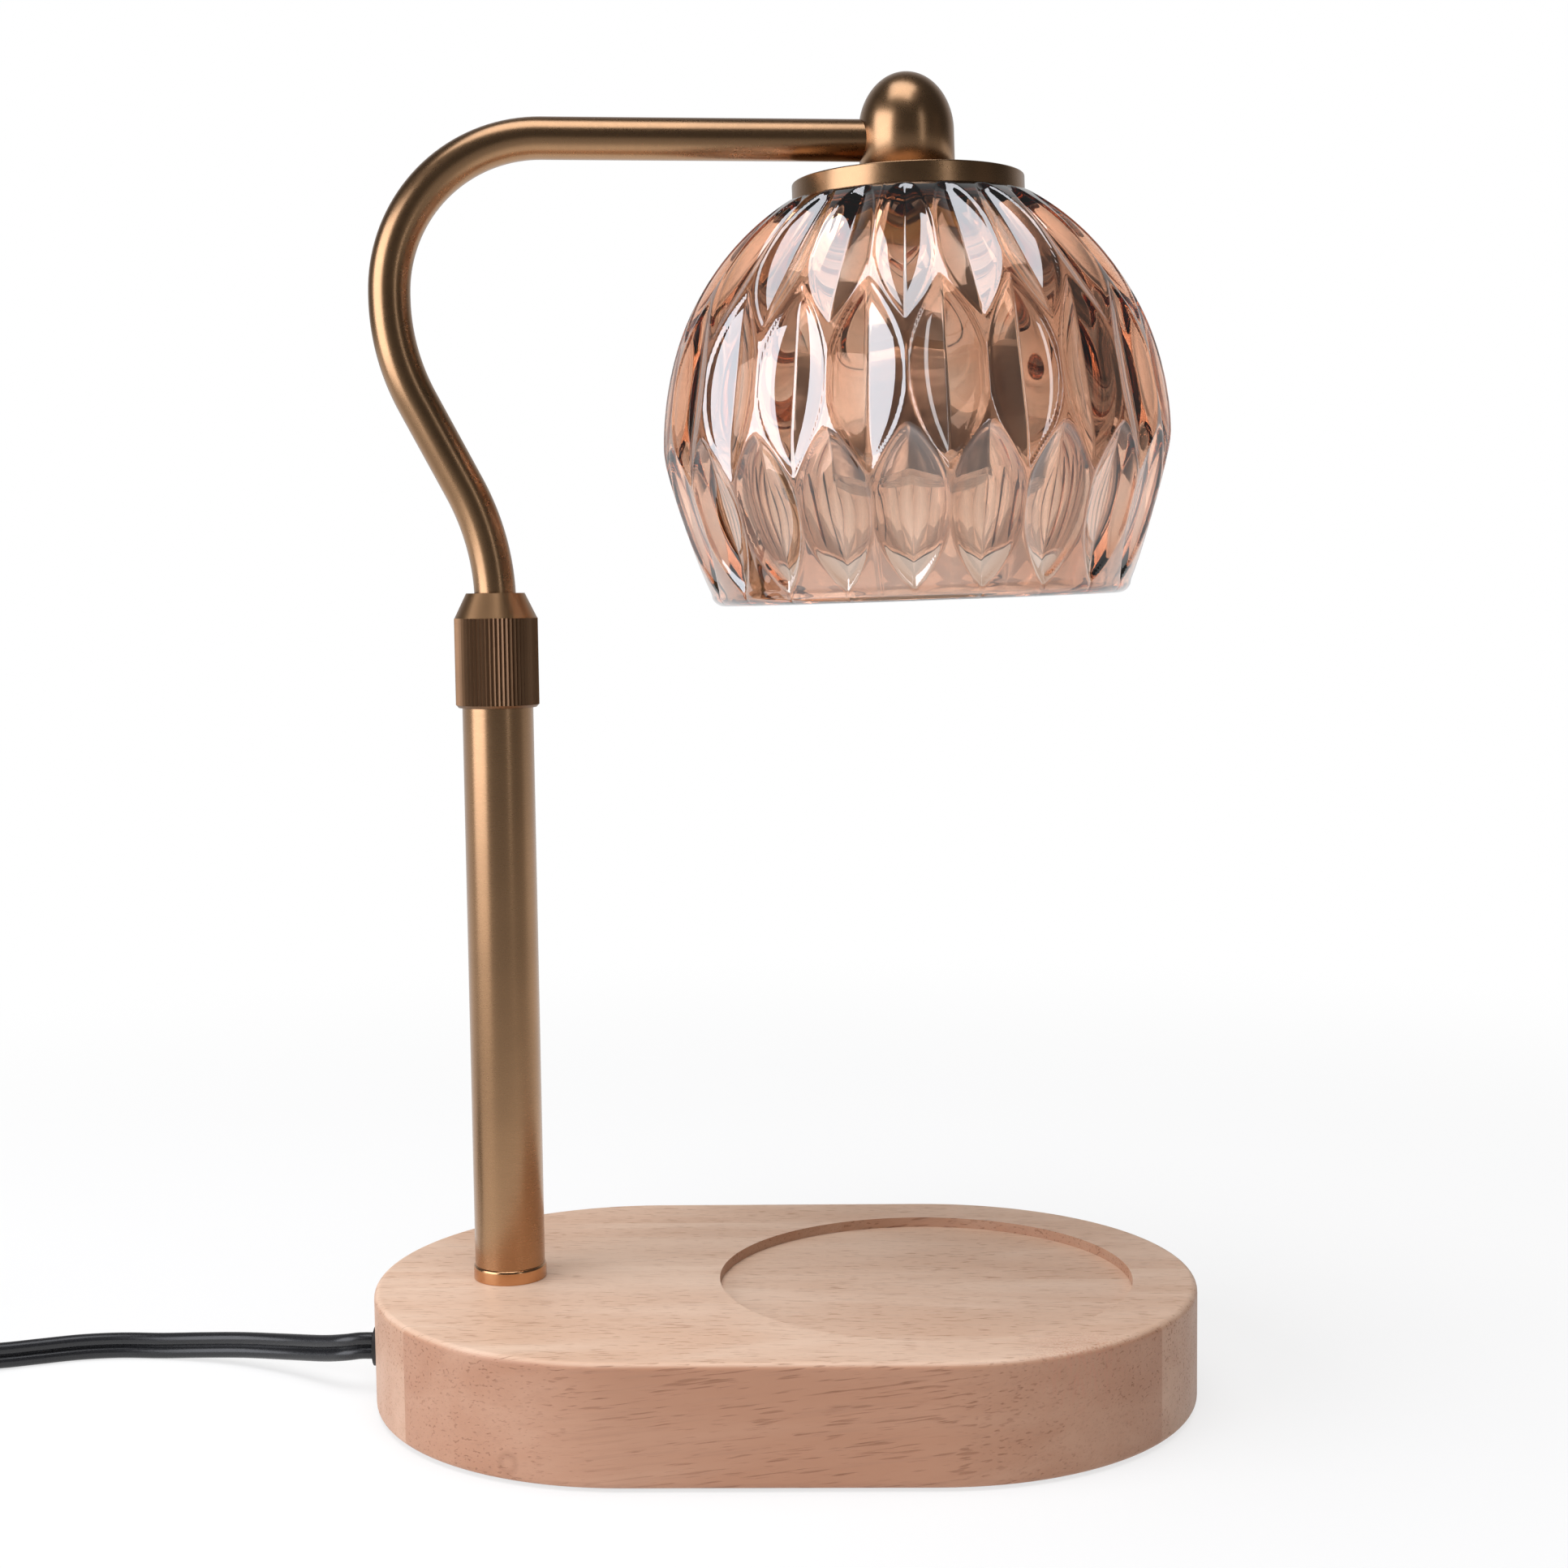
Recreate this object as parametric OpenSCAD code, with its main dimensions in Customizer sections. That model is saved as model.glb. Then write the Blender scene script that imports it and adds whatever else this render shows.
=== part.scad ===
// Candle warmer lamp: a round-ended wooden base with a shallow candle well, a round post, a
// swan-neck arm that slides and swings in a knurled lock collar, and a cut-glass shade over a
// reflector bulb that faces down.
// Frame: origin on the table under the middle of the base, +X towards the candle well, +Z up, and
// +Y towards the back. The arm is stored at its lowest, swung a few degrees to the back.

/* [Wooden base] */
// Length of the board, end to end
base_len = 220; // [190:1:280]
// Width of the board, which is also the diameter of its round ends
base_width = 143.4; // [130:0.1:180]
// Thickness of the board
base_thick = 31.1; // [26:0.1:45]
// Radius of the board's eased edges
base_edge = 1.8; // [0.5:0.1:4]
// Depth of the candle well
well_depth = 2.8; // [1:0.1:6]
// Diameter of the candle well
well_dia = 110.6; // [80:0.1:120]
// Centre of the well from the board's right end
well_inset = 72.2; // [66:0.1:90]

/* [Underside] */
// Thickness of the foam pad under the board
pad_thick = 0.6; // [0.4:0.1:2]
// Margin of the board that the pad leaves bare
pad_margin = 6; // [3:0.5:12]
// Depth of the wiring pocket
pocket_depth = 18; // [14:0.5:20]
// Diameter of the wiring pocket
pocket_dia = 30; // [26:1:32]
// Thickness of the cover under the pocket
cover_thick = 2; // [1.5:0.1:3]
// Width of the cover
cover_width = 40; // [38:1:46]
// Diameter of the cover's four screws
cover_screw_dia = 2.9; // [2:0.1:3.5]
// Length of the cover's screws
cover_screw_len = 11; // [8:0.5:16]
// Distance between the cover's screws, lengthwise
cover_screw_gap = 30; // [26:1:32]

/* [Post] */
// Post axis from the board's left end
post_inset = 35.7; // [30:0.1:45]
// Outside diameter of the post
post_dia = 18.7; // [17:0.1:21]
// Wall of the post's tube
post_wall = 1.2; // [0.8:0.1:1.5]
// Length of the post's tube
post_len = 150; // [130:1:200]
// Diameter of the ring at the foot of the post
ring_dia = 19.5; // [18:0.1:26]
// Height of that ring
ring_h = 3.9; // [2:0.1:8]
// Diameter of the hollow stud that holds the post to the board
stud_dia = 10; // [8:0.5:11]
// Bore of the stud, the post's bush and the head's nipple for the lead
lead_bore = 6.4; // [5:0.1:7]

/* [Lock collar] */
// Outside diameter of the knurled collar
collar_dia = 22; // [20.5:0.1:26]
// Height of the collar
collar_h = 30.1; // [28:0.1:40]
// Height of the knurled band
knurl_h = 22.8; // [18:0.1:24]
// Plain band under the knurl
knurl_start = 0.7; // [0.3:0.1:2]
// Number of knurl ridges
knurl_count = 60; // [36:1:80]
// Depth of the knurl
knurl_depth = 0.45; // [0.2:0.05:0.8]
// Diameter of the collar's flat top
collar_top_dia = 15.4; // [14:0.1:18]
// Pitch of the collar's thread, which is its rise in one turn
thread_pitch = 1; // [0.5:0.25:1.5]
// Diameter of the threaded neck inside the collar
neck_dia = 15; // [14:0.1:16]

/* [Arm] */
// Outside diameter of the arm's tube
arm_dia = 10.9; // [9:0.1:11.5]
// Wall of the arm's tube
arm_wall = 1; // [0.8:0.1:1.5]
// Swing of the arm away from the base's long axis, as stored
arm_swing = 7; // [-30:1:30]
// Height of the arm's level run above the table
arm_height = 333.6; // [325:0.1:400]
// Reach from the post's axis to the head's axis
arm_reach = 110.5; // [100:0.5:160]
// How far the arm's tube leans back above the collar
bend_angle = 27.5; // [20:0.5:32]
// Radius of the first bend, which leans the tube back
bend_out = 66; // [50:1:70]
// Radius of the second bend, which brings it upright again
bend_back = 58; // [50:1:62]
// Radius of the last bend, over to the level run
bend_over = 40; // [30:1:45]
// Height adjustment of the arm
arm_travel = 60; // [30:1:65]

/* [Head] */
// Lean of the head on the arm's end
head_lean = 1.4; // [0:0.1:3]
// Diameter of the domed cap
dome_dia = 25.2; // [22:0.1:30]
// Top of the domed cap above the arm's axis
dome_rise = 17.8; // [15:0.1:24]
// Height of the rounded part of the domed cap
dome_round = 15.5; // [10:0.1:17]
// Diameter of the disc on top of the shade
disc_dia = 61.5; // [50:0.5:64]
// Height of the disc's rim
disc_h = 5.7; // [4:0.1:10]
// Sheet thickness of the disc
disc_sheet = 1.5; // [1:0.1:2]
// Top of the disc below the arm's axis
disc_drop = 10.4; // [8:0.1:16]

/* [Glass shade] */
// Widest diameter of the shade
shade_dia = 134.6; // [120:0.5:150]
// Widest level of the shade below the arm's axis
shade_waist = 79.1; // [74:0.1:90]
// Bottom of the shade below the arm's axis
shade_bottom = 120.8; // [105:0.1:122]
// Height of the curve that the crown follows above the widest level
shade_crown = 72.5; // [72:0.1:90]
// Diameter of the mouth, outside
mouth_dia = 109; // [96:0.5:112]
// Wall of the glass
glass_wall = 3.6; // [3:0.1:5]
// Hole in the crown for the lampholder
shade_hole = 30; // [29.5:0.5:34]
// Round lip at the mouth
lip = 3.4; // [2:0.1:5]

/* [Lampholder and bulb] */
// Diameter of the lampholder
holder_dia = 28.4; // [26:0.1:29]
// Height of the lampholder
holder_h = 24; // [20:1:28]
// Diameter of the ring nut that clamps the shade
clamp_dia = 46.4; // [38:0.2:50]
// Height of the ring nut
clamp_h = 5.5; // [4:0.5:7]
// Diameter of the bulb's face
bulb_dia = 50; // [45:0.5:50]
// Length of the bulb from the lampholder to its face
bulb_len = 50; // [46:1:55]
// Distance between the bulb's two pins
pin_gap = 10; // [8:0.5:11]

/* [Cord, switch and plug] */
// Height of the flat twin cord, lying on its edge
cord_w = 7.3; // [6:0.1:8]
// Thickness of the flat twin cord
cord_t = 3.65; // [3:0.05:4]
// Height of the cord's outlet in the end of the board
outlet_z = 12.4; // [10:0.1:14]
// Diameter of the grommet's flange
grommet_dia = 10.6; // [9.5:0.1:14]
// How far the grommet's flange stands out
grommet_show = 1.6; // [1:0.1:3]
// Length of the dimmer's case on the cord
case_len = 62; // [56:1:80]
// Width of the dimmer's case
case_w = 26; // [22:0.5:30]
// Height of the dimmer's case
case_h = 16; // [15:0.5:20]
// Diameter of the dimmer's thumbwheel
wheel_dia = 13; // [12:0.5:14]
// Length of the plug's body
plug_len = 28; // [22:1:36]
// Width of the plug's body
plug_w = 25; // [22:0.5:30]
// Thickness of the plug's body
plug_t = 15; // [12:0.5:18]

/* [Hidden] */
$fn = 64;

brass = "#b08d62";
bronze = "#8d6b47";
wood = "#dcc0a4";
black = "#1d1c1c";
steel = "#a9abad";
glass = "#d9a27c";
ceramic = "#e9e4da";

slide_fit = 0.08;      // radial clearance of a tube that slides or turns in a bore
body_gap = 0.3;        // between pieces that move past each other
eps = 0.01;            // how far a cut runs past a face

// Heights up the post
base_top = pad_thick + base_thick;
post_x = post_inset - base_len / 2;
well_x = base_len / 2 - well_inset;
ring_top = base_top + ring_h;
post_top = ring_top + post_len;
collar_z = post_top + 0.1;
collar_top = collar_z + collar_h;
neck_in = 12;                       // how far the neck's plug goes down into the post
neck_top = post_top + 15;
collet_z = neck_top + body_gap;
collet_h = 5.5;
press_z = collet_z + collet_h + 0.2;
press_h = 2;
roof_z = press_z + press_h;         // underside of the collar's top wall
guide_h = 12;
guide_top = post_top - neck_in - 1 - arm_travel;
arm_low = guide_top - guide_h - 2;  // lower end of the arm's tube

// The arm's bends, as reach from the post's axis and height
bend_z = collar_top - 2.8;
arm_r = arm_dia / 2;
lean_x = -bend_out * (1 - cos(bend_angle));
lean_z = bend_z + bend_out * sin(bend_angle);
upright = 1;                        // short upright run between the last two bends
upright_z = arm_height - bend_over - upright;
lean_len = (upright_z - bend_back * sin(bend_angle) - lean_z) / cos(bend_angle);
back_x = lean_x - lean_len * sin(bend_angle);
left_x = back_x - bend_back * (1 - cos(bend_angle));
level_x = left_x + bend_over;
arm_end = arm_reach - 4;            // the tube ends inside the domed cap

// Heights in the head, from the arm's axis
disc_low = -disc_drop - disc_h;
glass_in = disc_low - glass_wall;   // underside of the crown's flat top
holder_low = -disc_drop - disc_sheet - holder_h;
bulb_face = holder_low - bulb_len;
nipple_top = -arm_r - 0.5;

// Under the board
pocket_top = pad_thick + pocket_depth;
cover_len = cover_width + 16;
cover_screw_edge = 5;               // middle of a screw from the cover's long edge
cover_x = post_x - 6;
end_x = -base_len / 2;              // the board's left end
channel_from = 15;                  // start of the lead's channel, in from that end

// The cord's route from the grommet to the dimmer, lying on its edge on the table
cord_rest = cord_w / 2 + 0.05;
route = [[-120, 1, 11.6], [-127, 5.6, 9.8], [-139, 13.5, 7.6], [-153, 20.5, 5.8],
    [-166, 24.5, 4.5], [-178, 26.5, cord_rest], [-190, 27, cord_rest], [-201, 25.5, cord_rest],
    [-212, 21.8, cord_rest], [-221, 18, 3.9], [-230, 14.4, 4.6], [-239, 10.8, 5.5]];
case_in = [-254.3, 4.7];            // where the cord enters the dimmer's case
case_turn = 201.8;                  // heading of the cord through the case
case_cord_z = 6;
case_grip = 4;                      // how far the cord goes into the case's end
coil_turns = 6.56;                  // in to the middle and out again, in two layers
coil_out = 46;                      // radius of the outermost turn
coil_pitch = 4.6;                   // from turn to turn
coil_rings = 24;                    // rings in a turn
coil_rise = cord_w + 0.7;           // from layer to layer
coil_lead = 26;                     // straight run from the case to the coil

function heading(a) = [cos(a), sin(a)];
case_out = case_in + case_len * heading(case_turn);
coil_start = case_turn + 90;        // the cord turns clockwise, so its coil is on its right
coil_mid = case_out + coil_lead * heading(case_turn) + coil_out * heading(case_turn - 90);
coil_end = coil_start - 360 * coil_turns;

// ---- helpers ----

// A flat ring, or a disc where the bore is 0
module washer(r, bore, z, h) {
    translate([0, 0, z]) difference() {
        cylinder(r = r, h = h);
        if (bore > 0) translate([0, 0, -1]) cylinder(r = bore, h = h + 2);
    }
}

// Points of an arc, from one angle to another
function arc(x, z, r, a0, a1, n = 8) =
    [for (i = [0:n]) [x + r * cos(a0 + (a1 - a0) * i / n), z + r * sin(a0 + (a1 - a0) * i / n)]];

// Half the section of the board, rounded at both edges
function board_section(r) = concat([[0, pad_thick]],
    arc(r - base_edge, pad_thick + base_edge, base_edge, -90, 0),
    arc(r - base_edge, base_top - base_edge, base_edge, 0, 90), [[0, base_top]]);

// A bar with round ends, lying along X
module oblong(length, width) {
    for (s = [-1, 1]) translate([s * (length - width) / 2, 0]) circle(d = width);
    square([length - width, width], center = true);
}

// Places its children in the arm's frame: X along the reach, Z up, on the post's axis
module on_arm() {
    translate([post_x, 0, 0]) rotate([0, 0, arm_swing]) children();
}

// Places its children in the head's frame: on the arm's axis over the middle of the shade
module on_head() {
    on_arm() translate([arm_reach, 0, arm_height]) rotate([0, -head_lean, 0]) children();
}

// A tube along the arm, or a solid bar where the bore is 0. Each bend is a hair slimmer than the
// straights and ends a little way inside them, so that every joint closes.
module arm_bar(r, bore, low, end) {
    lap = 0.5;
    module section(slim) {
        difference() {
            circle(r = r - slim);
            if (bore > 0) circle(r = bore + slim);
        }
    }
    module straight(x, z, tilt, length) {
        translate([x, 0, z]) rotate([0, tilt, 0]) translate([0, 0, -lap])
            linear_extrude(length + 2 * lap) section(0);
    }
    module bend(x, z, radius, from, by) {
        translate([x, 0, z]) rotate([90, 0, 0]) rotate([0, 0, from])
            rotate_extrude(angle = by, $fn = 128) translate([radius, 0]) section(0.04);
    }
    straight(0, low + lap, 0, bend_z - low - lap);
    bend(-bend_out, bend_z, bend_out, 0, bend_angle);
    straight(lean_x, lean_z, -bend_angle, lean_len);
    bend(left_x + bend_back, upright_z, bend_back, 180, bend_angle);
    straight(left_x, upright_z, 0, upright);
    bend(level_x, arm_height - bend_over, bend_over, 90, 90);
    straight(level_x, arm_height, 90, end - level_x - lap);
}

// One closed tube through a list of points, with the section's tall side kept upright
function unit(v) = v / norm(v);
function along(p, i) = unit(p[min(i + 1, len(p) - 1)] - p[max(i - 1, 0)]);
function tube_ring(p, i, section) =
    let (t = along(p, i), side = unit(cross([0, 0, 1], t)), up = cross(t, side))
    [for (s = section) p[i] + s[0] * side + s[1] * up];
module swept(path, section) {
    n = len(section);
    last = len(path) - 1;
    points = [for (i = [0:last]) each tube_ring(path, i, section)];
    sides = [for (i = [0:last - 1], j = [0:n - 1])
        let (a = i * n + j, b = i * n + (j + 1) % n)
        each [[a, a + n, b + n], [a, b + n, b]]];
    first_cap = [for (j = [1:n - 2]) [0, j, j + 1]];
    last_cap = [for (c = first_cap) [last * n + c[0], last * n + c[2], last * n + c[1]]];
    polyhedron(points, concat(sides, first_cap, last_cap));
}

// Section of the flat cord, with 8 sides for a free stretch and 6 for a coil
function flat_8(t, w) = [for (s = [[1, -1], [1, 1], [-1, 1], [-1, -1]])
    each (s[0] * s[1] < 0 ? [[s[0] * t / 4, s[1] * w / 2], [s[0] * t / 2, s[1] * w * 0.36]]
        : [[s[0] * t / 2, s[1] * w * 0.36], [s[0] * t / 4, s[1] * w / 2]])];
function flat_6(t, w) = [for (s = [[1, -0.33], [1, 0.33], [0, 0.5], [-1, 0.33], [-1, -0.33],
    [0, -0.5]]) [s[0] * t / 2, s[1] * w]];

// ---- base ----

module wood_base() {
    color(wood) difference() {
        union() {
            for (s = [-1, 1]) translate([s * (base_len - base_width) / 2, 0, 0])
                rotate_extrude($fn = 160) polygon(board_section(base_width / 2));
            translate([-(base_len - base_width) / 2, 0, 0]) rotate([90, 0, 90])
                linear_extrude(base_len - base_width)
                    for (s = [0, 1]) mirror([s, 0]) polygon(board_section(base_width / 2));
        }
        translate([well_x, 0, base_top - well_depth]) cylinder(d = well_dia, h = 20, $fn = 160);
        translate([post_x, 0, 0]) {
            cylinder(d = stud_dia + 0.4, h = base_top + 1);
            translate([0, 0, -1]) cylinder(d = pocket_dia, h = pocket_top + 1);
        }
        translate([cover_x, 0, -1]) linear_extrude(pad_thick + cover_thick + 1)
            oblong(cover_len + 0.4, cover_width + 0.4);
        // channel from the pocket to the outlet, and the outlet's bore
        translate([end_x + channel_from, -cord_w / 2 - 1, -1])
            cube([post_x - end_x - channel_from, cord_w + 2, outlet_z + cord_w / 2 + 2]);
        translate([end_x - 1, 0, outlet_z]) rotate([0, 90, 0])
            cylinder(d = grommet_dia - 1.6, h = channel_from + 2);
        cover_screws_at(0) cylinder(d = cover_screw_dia, h = pad_thick + cover_screw_len + 1);
    }
}

// Foam pad glued over the whole underside, the cover and its screws
module base_pad() {
    color(black) linear_extrude(pad_thick)
        oblong(base_len - 2 * pad_margin, base_width - 2 * pad_margin);
}

// Places its children at the cover's four screws
module cover_screws_at(z) {
    for (x = [-1, 1], y = [-1, 1])
        translate([cover_x + x * cover_screw_gap / 2, y * (cover_width / 2 - cover_screw_edge), z])
            children();
}

module bottom_cover() {
    color(black) difference() {
        translate([cover_x, 0, pad_thick]) linear_extrude(cover_thick)
            oblong(cover_len, cover_width);
        cover_screws_at(0) cylinder(d = cover_screw_dia + 0.4, h = 10);
        cover_screws_at(pad_thick - eps) cylinder(d1 = 2 * cover_screw_dia, d2 = cover_screw_dia, h = 1.5);
    }
}

module cover_screws() {
    color(steel) cover_screws_at(pad_thick) {
        cylinder(d1 = 2 * cover_screw_dia - 0.3, d2 = cover_screw_dia, h = 1.4);
        cylinder(d = cover_screw_dia, h = cover_screw_len);
    }
}

module grommet() {
    color(black) translate([end_x, 0, outlet_z]) rotate([0, 90, 0]) difference() {
        union() {
            translate([0, 0, -grommet_show]) cylinder(d = grommet_dia, h = grommet_show);
            cylinder(d = grommet_dia - 1.6, h = 13);
        }
        translate([0, 0, -5]) linear_extrude(30) oblong(cord_w, cord_t);
    }
}

// The cord's own end inside the grommet, then the lead down under the stud and up into the post
module inner_lead() {
    r = cord_t / 2;
    flat_end = end_x + channel_from + 1;
    low_z = pad_thick + cover_thick + 0.8 + r;
    run = post_x - flat_end;
    slope = atan((outlet_z - low_z) / run);
    color(black) {
        translate([end_x - grommet_show, 0, outlet_z]) rotate([0, 90, 0])
            linear_extrude(flat_end + 1 - end_x + grommet_show) oblong(cord_w, cord_t);
        translate([flat_end, 0, outlet_z]) rotate([0, 90 + slope, 0]) cylinder(r = r, h = run / cos(slope));
        translate([post_x, 0, low_z]) {
            sphere(r = r + 0.02);
            cylinder(r = r, h = arm_low - 6 - low_z);
        }
    }
}

module base_stud() {
    color(steel) translate([post_x, 0, 0])
        washer(stud_dia / 2, lead_bore / 2, pocket_top - 9, ring_top + 10 - pocket_top + 9);
}

module stud_washer() {
    color(steel) translate([post_x, 0, 0]) washer(stud_dia / 2 + 5, stud_dia / 2, pocket_top - 1.5, 1.5);
}

module stud_nut() {
    color(steel) translate([post_x, 0, pocket_top - 7]) difference() {
        cylinder(r = stud_dia / 2 + 4.4, h = 5.5, $fn = 6);
        translate([0, 0, -1]) cylinder(d = stud_dia, h = 8);
    }
}

// ---- post ----

module foot_ring() {
    round = 1.2;
    color(brass) translate([post_x, 0, 0]) rotate_extrude()
        polygon(concat([[stud_dia / 2, base_top], [ring_dia / 2, base_top]],
            arc(ring_dia / 2 - round, ring_top - round, round, 0, 90, 6),
            [[stud_dia / 2, ring_top]]));
}

module post_tube() {
    color(brass) translate([post_x, 0, 0])
        washer(post_dia / 2, post_dia / 2 - post_wall, ring_top, post_len);
}

module post_insert() {
    color(steel) translate([post_x, 0, 0])
        washer(post_dia / 2 - post_wall, stud_dia / 2, ring_top, 14);
}

// Bush in the post's top: the arm slides in it, and the lock collar screws onto its neck
module post_neck() {
    color(steel) translate([post_x, 0, 0]) difference() {
        union() {
            translate([0, 0, post_top - neck_in]) cylinder(d = post_dia - 2 * post_wall, h = neck_in);
            translate([0, 0, post_top - eps]) cylinder(d = neck_dia, h = neck_top - post_top + eps);
        }
        translate([0, 0, arm_low]) cylinder(r = arm_r + slide_fit, h = 200);
    }
}

// ---- lock collar ----

// Split nylon collet that grips the arm
module collet() {
    color("white") on_arm() difference() {
        washer(neck_dia / 2 - 0.4, arm_r + 0.05, collet_z, collet_h);
        translate([-0.6, 0, collet_z - 1]) cube([1.2, neck_dia, collet_h + 2]);
    }
}

module press_ring() {
    color(steel) translate([post_x, 0, 0]) washer(neck_dia / 2 - 0.4, arm_r + 0.5, press_z, press_h);
}

module lock_collar() {
    r = collar_dia / 2;
    valley = r - knurl_depth;
    knurl_z = collar_z + knurl_start;
    top_z = knurl_z + knurl_h;
    color(bronze) translate([post_x, 0, 0]) difference() {
        union() {
            translate([0, 0, collar_z]) cylinder(r1 = r - knurl_start, r2 = r - 0.1, h = knurl_start);
            translate([0, 0, knurl_z]) linear_extrude(knurl_h)
                polygon([for (i = [0:2 * knurl_count - 1]) let (a = 180 * i / knurl_count)
                    (i % 2 == 0 ? r : valley) * [cos(a), sin(a)]]);
            translate([0, 0, top_z]) cylinder(r1 = r - 0.1, r2 = collar_top_dia / 2, h = collar_top - top_z);
        }
        translate([0, 0, collar_z - 1]) cylinder(d = neck_dia + 2 * body_gap, h = roof_z - collar_z + 1);
        translate([0, 0, collar_z]) cylinder(r = arm_r + 0.6, h = collar_h + 1);
    }
}

// ---- arm ----

module arm_tube() {
    color(brass) on_arm() arm_bar(arm_r, arm_r - arm_wall, arm_low, arm_end);
}

// Nylon sleeve on the arm's lower end: it runs in the post and stops under the neck
module arm_guide() {
    color("white") translate([post_x, 0, 0])
        washer(post_dia / 2 - post_wall - slide_fit, arm_r, guide_top - guide_h, guide_h);
}

// Lead inside the arm, with its turn down into the head's nipple
module arm_lead() {
    r = 2.2;
    turn = 3.6;
    color(black) on_arm() {
        arm_bar(r, 0, arm_low + 3, arm_reach - turn);
        translate([arm_reach - turn, 0, arm_height - turn]) rotate([90, 0, 0])
            rotate_extrude(angle = 90) translate([turn, 0]) circle(r = r);
        translate([arm_reach, 0, arm_height - disc_drop - disc_sheet + 0.2])
            cylinder(r = r, h = disc_drop + disc_sheet - turn - 0.2);
    }
}

// ---- head ----

// Domed cap, solid but for the arm's socket and the nipple's hole
module dome_cap() {
    r = dome_dia / 2;
    shoulder = dome_rise - dome_round;
    color(brass) difference() {
        on_head() rotate_extrude(convexity = 4)
            polygon(concat([[0, -disc_drop], [r - 0.5, -disc_drop], [r, -disc_drop + 0.5]],
                [for (a = [0:6:90]) [r * cos(a), shoulder + dome_round * sin(a)]]));
        on_arm() translate([arm_reach - dome_dia, 0, arm_height]) rotate([0, 90, 0])
            cylinder(r = arm_r, h = dome_dia + arm_r);
        on_head() translate([0, 0, -disc_drop - 1]) cylinder(d = stud_dia, h = disc_drop + 1);
    }
}

module head_nipple() {
    low = -disc_drop - disc_sheet - 5;
    color(steel) on_head() washer(stud_dia / 2, lead_bore / 2, low, nipple_top - low);
}

// Shallow spun disc that caps the shade
module shade_disc() {
    r = disc_dia / 2;
    color(brass) on_head() rotate_extrude($fn = 128)
        polygon([[stud_dia / 2, -disc_drop], [r - 0.4, -disc_drop], [r, -disc_drop - 0.4],
            [r, disc_low], [r - disc_sheet, disc_low], [r - disc_sheet, -disc_drop - disc_sheet],
            [stud_dia / 2, -disc_drop - disc_sheet]]);
}

module lamp_holder() {
    color(ceramic) on_head() difference() {
        washer(holder_dia / 2, 0, holder_low, holder_h);
        translate([0, 0, -disc_drop - disc_sheet - 6]) cylinder(d = stud_dia, h = 10);
        translate([0, 0, holder_low + 12]) cylinder(d = lead_bore, h = holder_h);
        for (s = [-1, 1]) translate([s * pin_gap / 2, 0, holder_low - 1]) cylinder(d = 5.6, h = 10);
    }
}

module holder_contacts() {
    color(brass) on_head() for (s = [-1, 1])
        translate([s * pin_gap / 2, 0, holder_low + 8]) cylinder(d = 5.4, h = 1);
}

module clamp_ring() {
    r = clamp_dia / 2;
    color(brass) on_head() rotate_extrude()
        polygon([[holder_dia / 2, glass_in], [r, glass_in], [r, glass_in - 1.5],
            [holder_dia / 2 + 3, glass_in - clamp_h], [holder_dia / 2, glass_in - clamp_h]]);
}

// Radius of the shade's outside at a height z, from the crown's ellipse and the flank's curve
flank = 1.46;       // how the flank bows: 2 is an ellipse, 1 a straight line
function crown_r(z, wall) = (shade_dia / 2 - wall)
    * sqrt(max(0, 1 - pow((z + shade_waist) / (shade_crown - wall), 2)));
flank_h = (shade_bottom - shade_waist) / pow(1 - pow(mouth_dia / shade_dia, flank), 1 / flank);
function flank_r(z, wall) = (shade_dia / 2 - wall)
    * pow(1 - pow((-z - shade_waist) / flank_h, flank), 1 / flank);
function shade_r(z, wall) = z > -shade_waist ? crown_r(z, wall) : flank_r(z, wall);

// Radii down the wall from height a to height b, closer together where the crown turns over
function shade_line(a, b, wall, n) = [for (i = [0:n]) let (u = i / n, z = a + (b - a) * u * (0.35 + 0.65 * u))
    [shade_r(z, wall), z]];

module glass_shade() {
    lip_z = -shade_bottom + lip;
    outside = shade_line(disc_low, lip_z, 0, 28);
    inside = shade_line(glass_in, lip_z, glass_wall, 28);
    outer_r = shade_r(lip_z, 0);
    inner_r = shade_r(lip_z, glass_wall);
    color(glass, 0.6) on_head() rotate_extrude($fn = 128)
        polygon(concat([[shade_hole / 2, disc_low]], outside,
            arc(outer_r - lip, lip_z, lip, -10, -90, 5),
            [[inner_r + 0.5, -shade_bottom], [inner_r, -shade_bottom + 0.5]],
            [for (i = [len(inside) - 1:-1:0]) inside[i]], [[shade_hole / 2, glass_in]]));
}

// ---- bulb ----

neck_r = 13;
neck_h = 15;

module bulb_base() {
    color(ceramic) on_head() difference() {
        washer(neck_r, 0, holder_low - neck_h, neck_h);
        for (s = [-1, 1]) translate([s * pin_gap / 2, 0, holder_low - 4]) cylinder(d = 2.4, h = 5);
    }
}

module bulb_pins() {
    color(steel) on_head() for (s = [-1, 1]) translate([s * pin_gap / 2, 0, holder_low]) {
        translate([0, 0, -4]) cylinder(d = 2.4, h = 9.5);
        translate([0, 0, 5]) cylinder(d = 5, h = 3);
    }
}

module bulb_reflector() {
    r = bulb_dia / 2;
    top = holder_low - neck_h;
    n = 10;
    // outside of the bowl, and its inside 1.6 mm in
    bowl = [for (i = [0:n]) let (u = i / n) [neck_r + (r - neck_r) * sqrt(u), top + (bulb_face - top) * u]];
    color(glass, 0.5) on_head() rotate_extrude($fn = 96)
        polygon(concat([[0, top]], bowl, [[r - 1.6, bulb_face]],
            [for (i = [n - 1:-1:1]) [bowl[i][0] - 1.6, bowl[i][1]]], [[0, bowl[1][1]]]));
}

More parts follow.
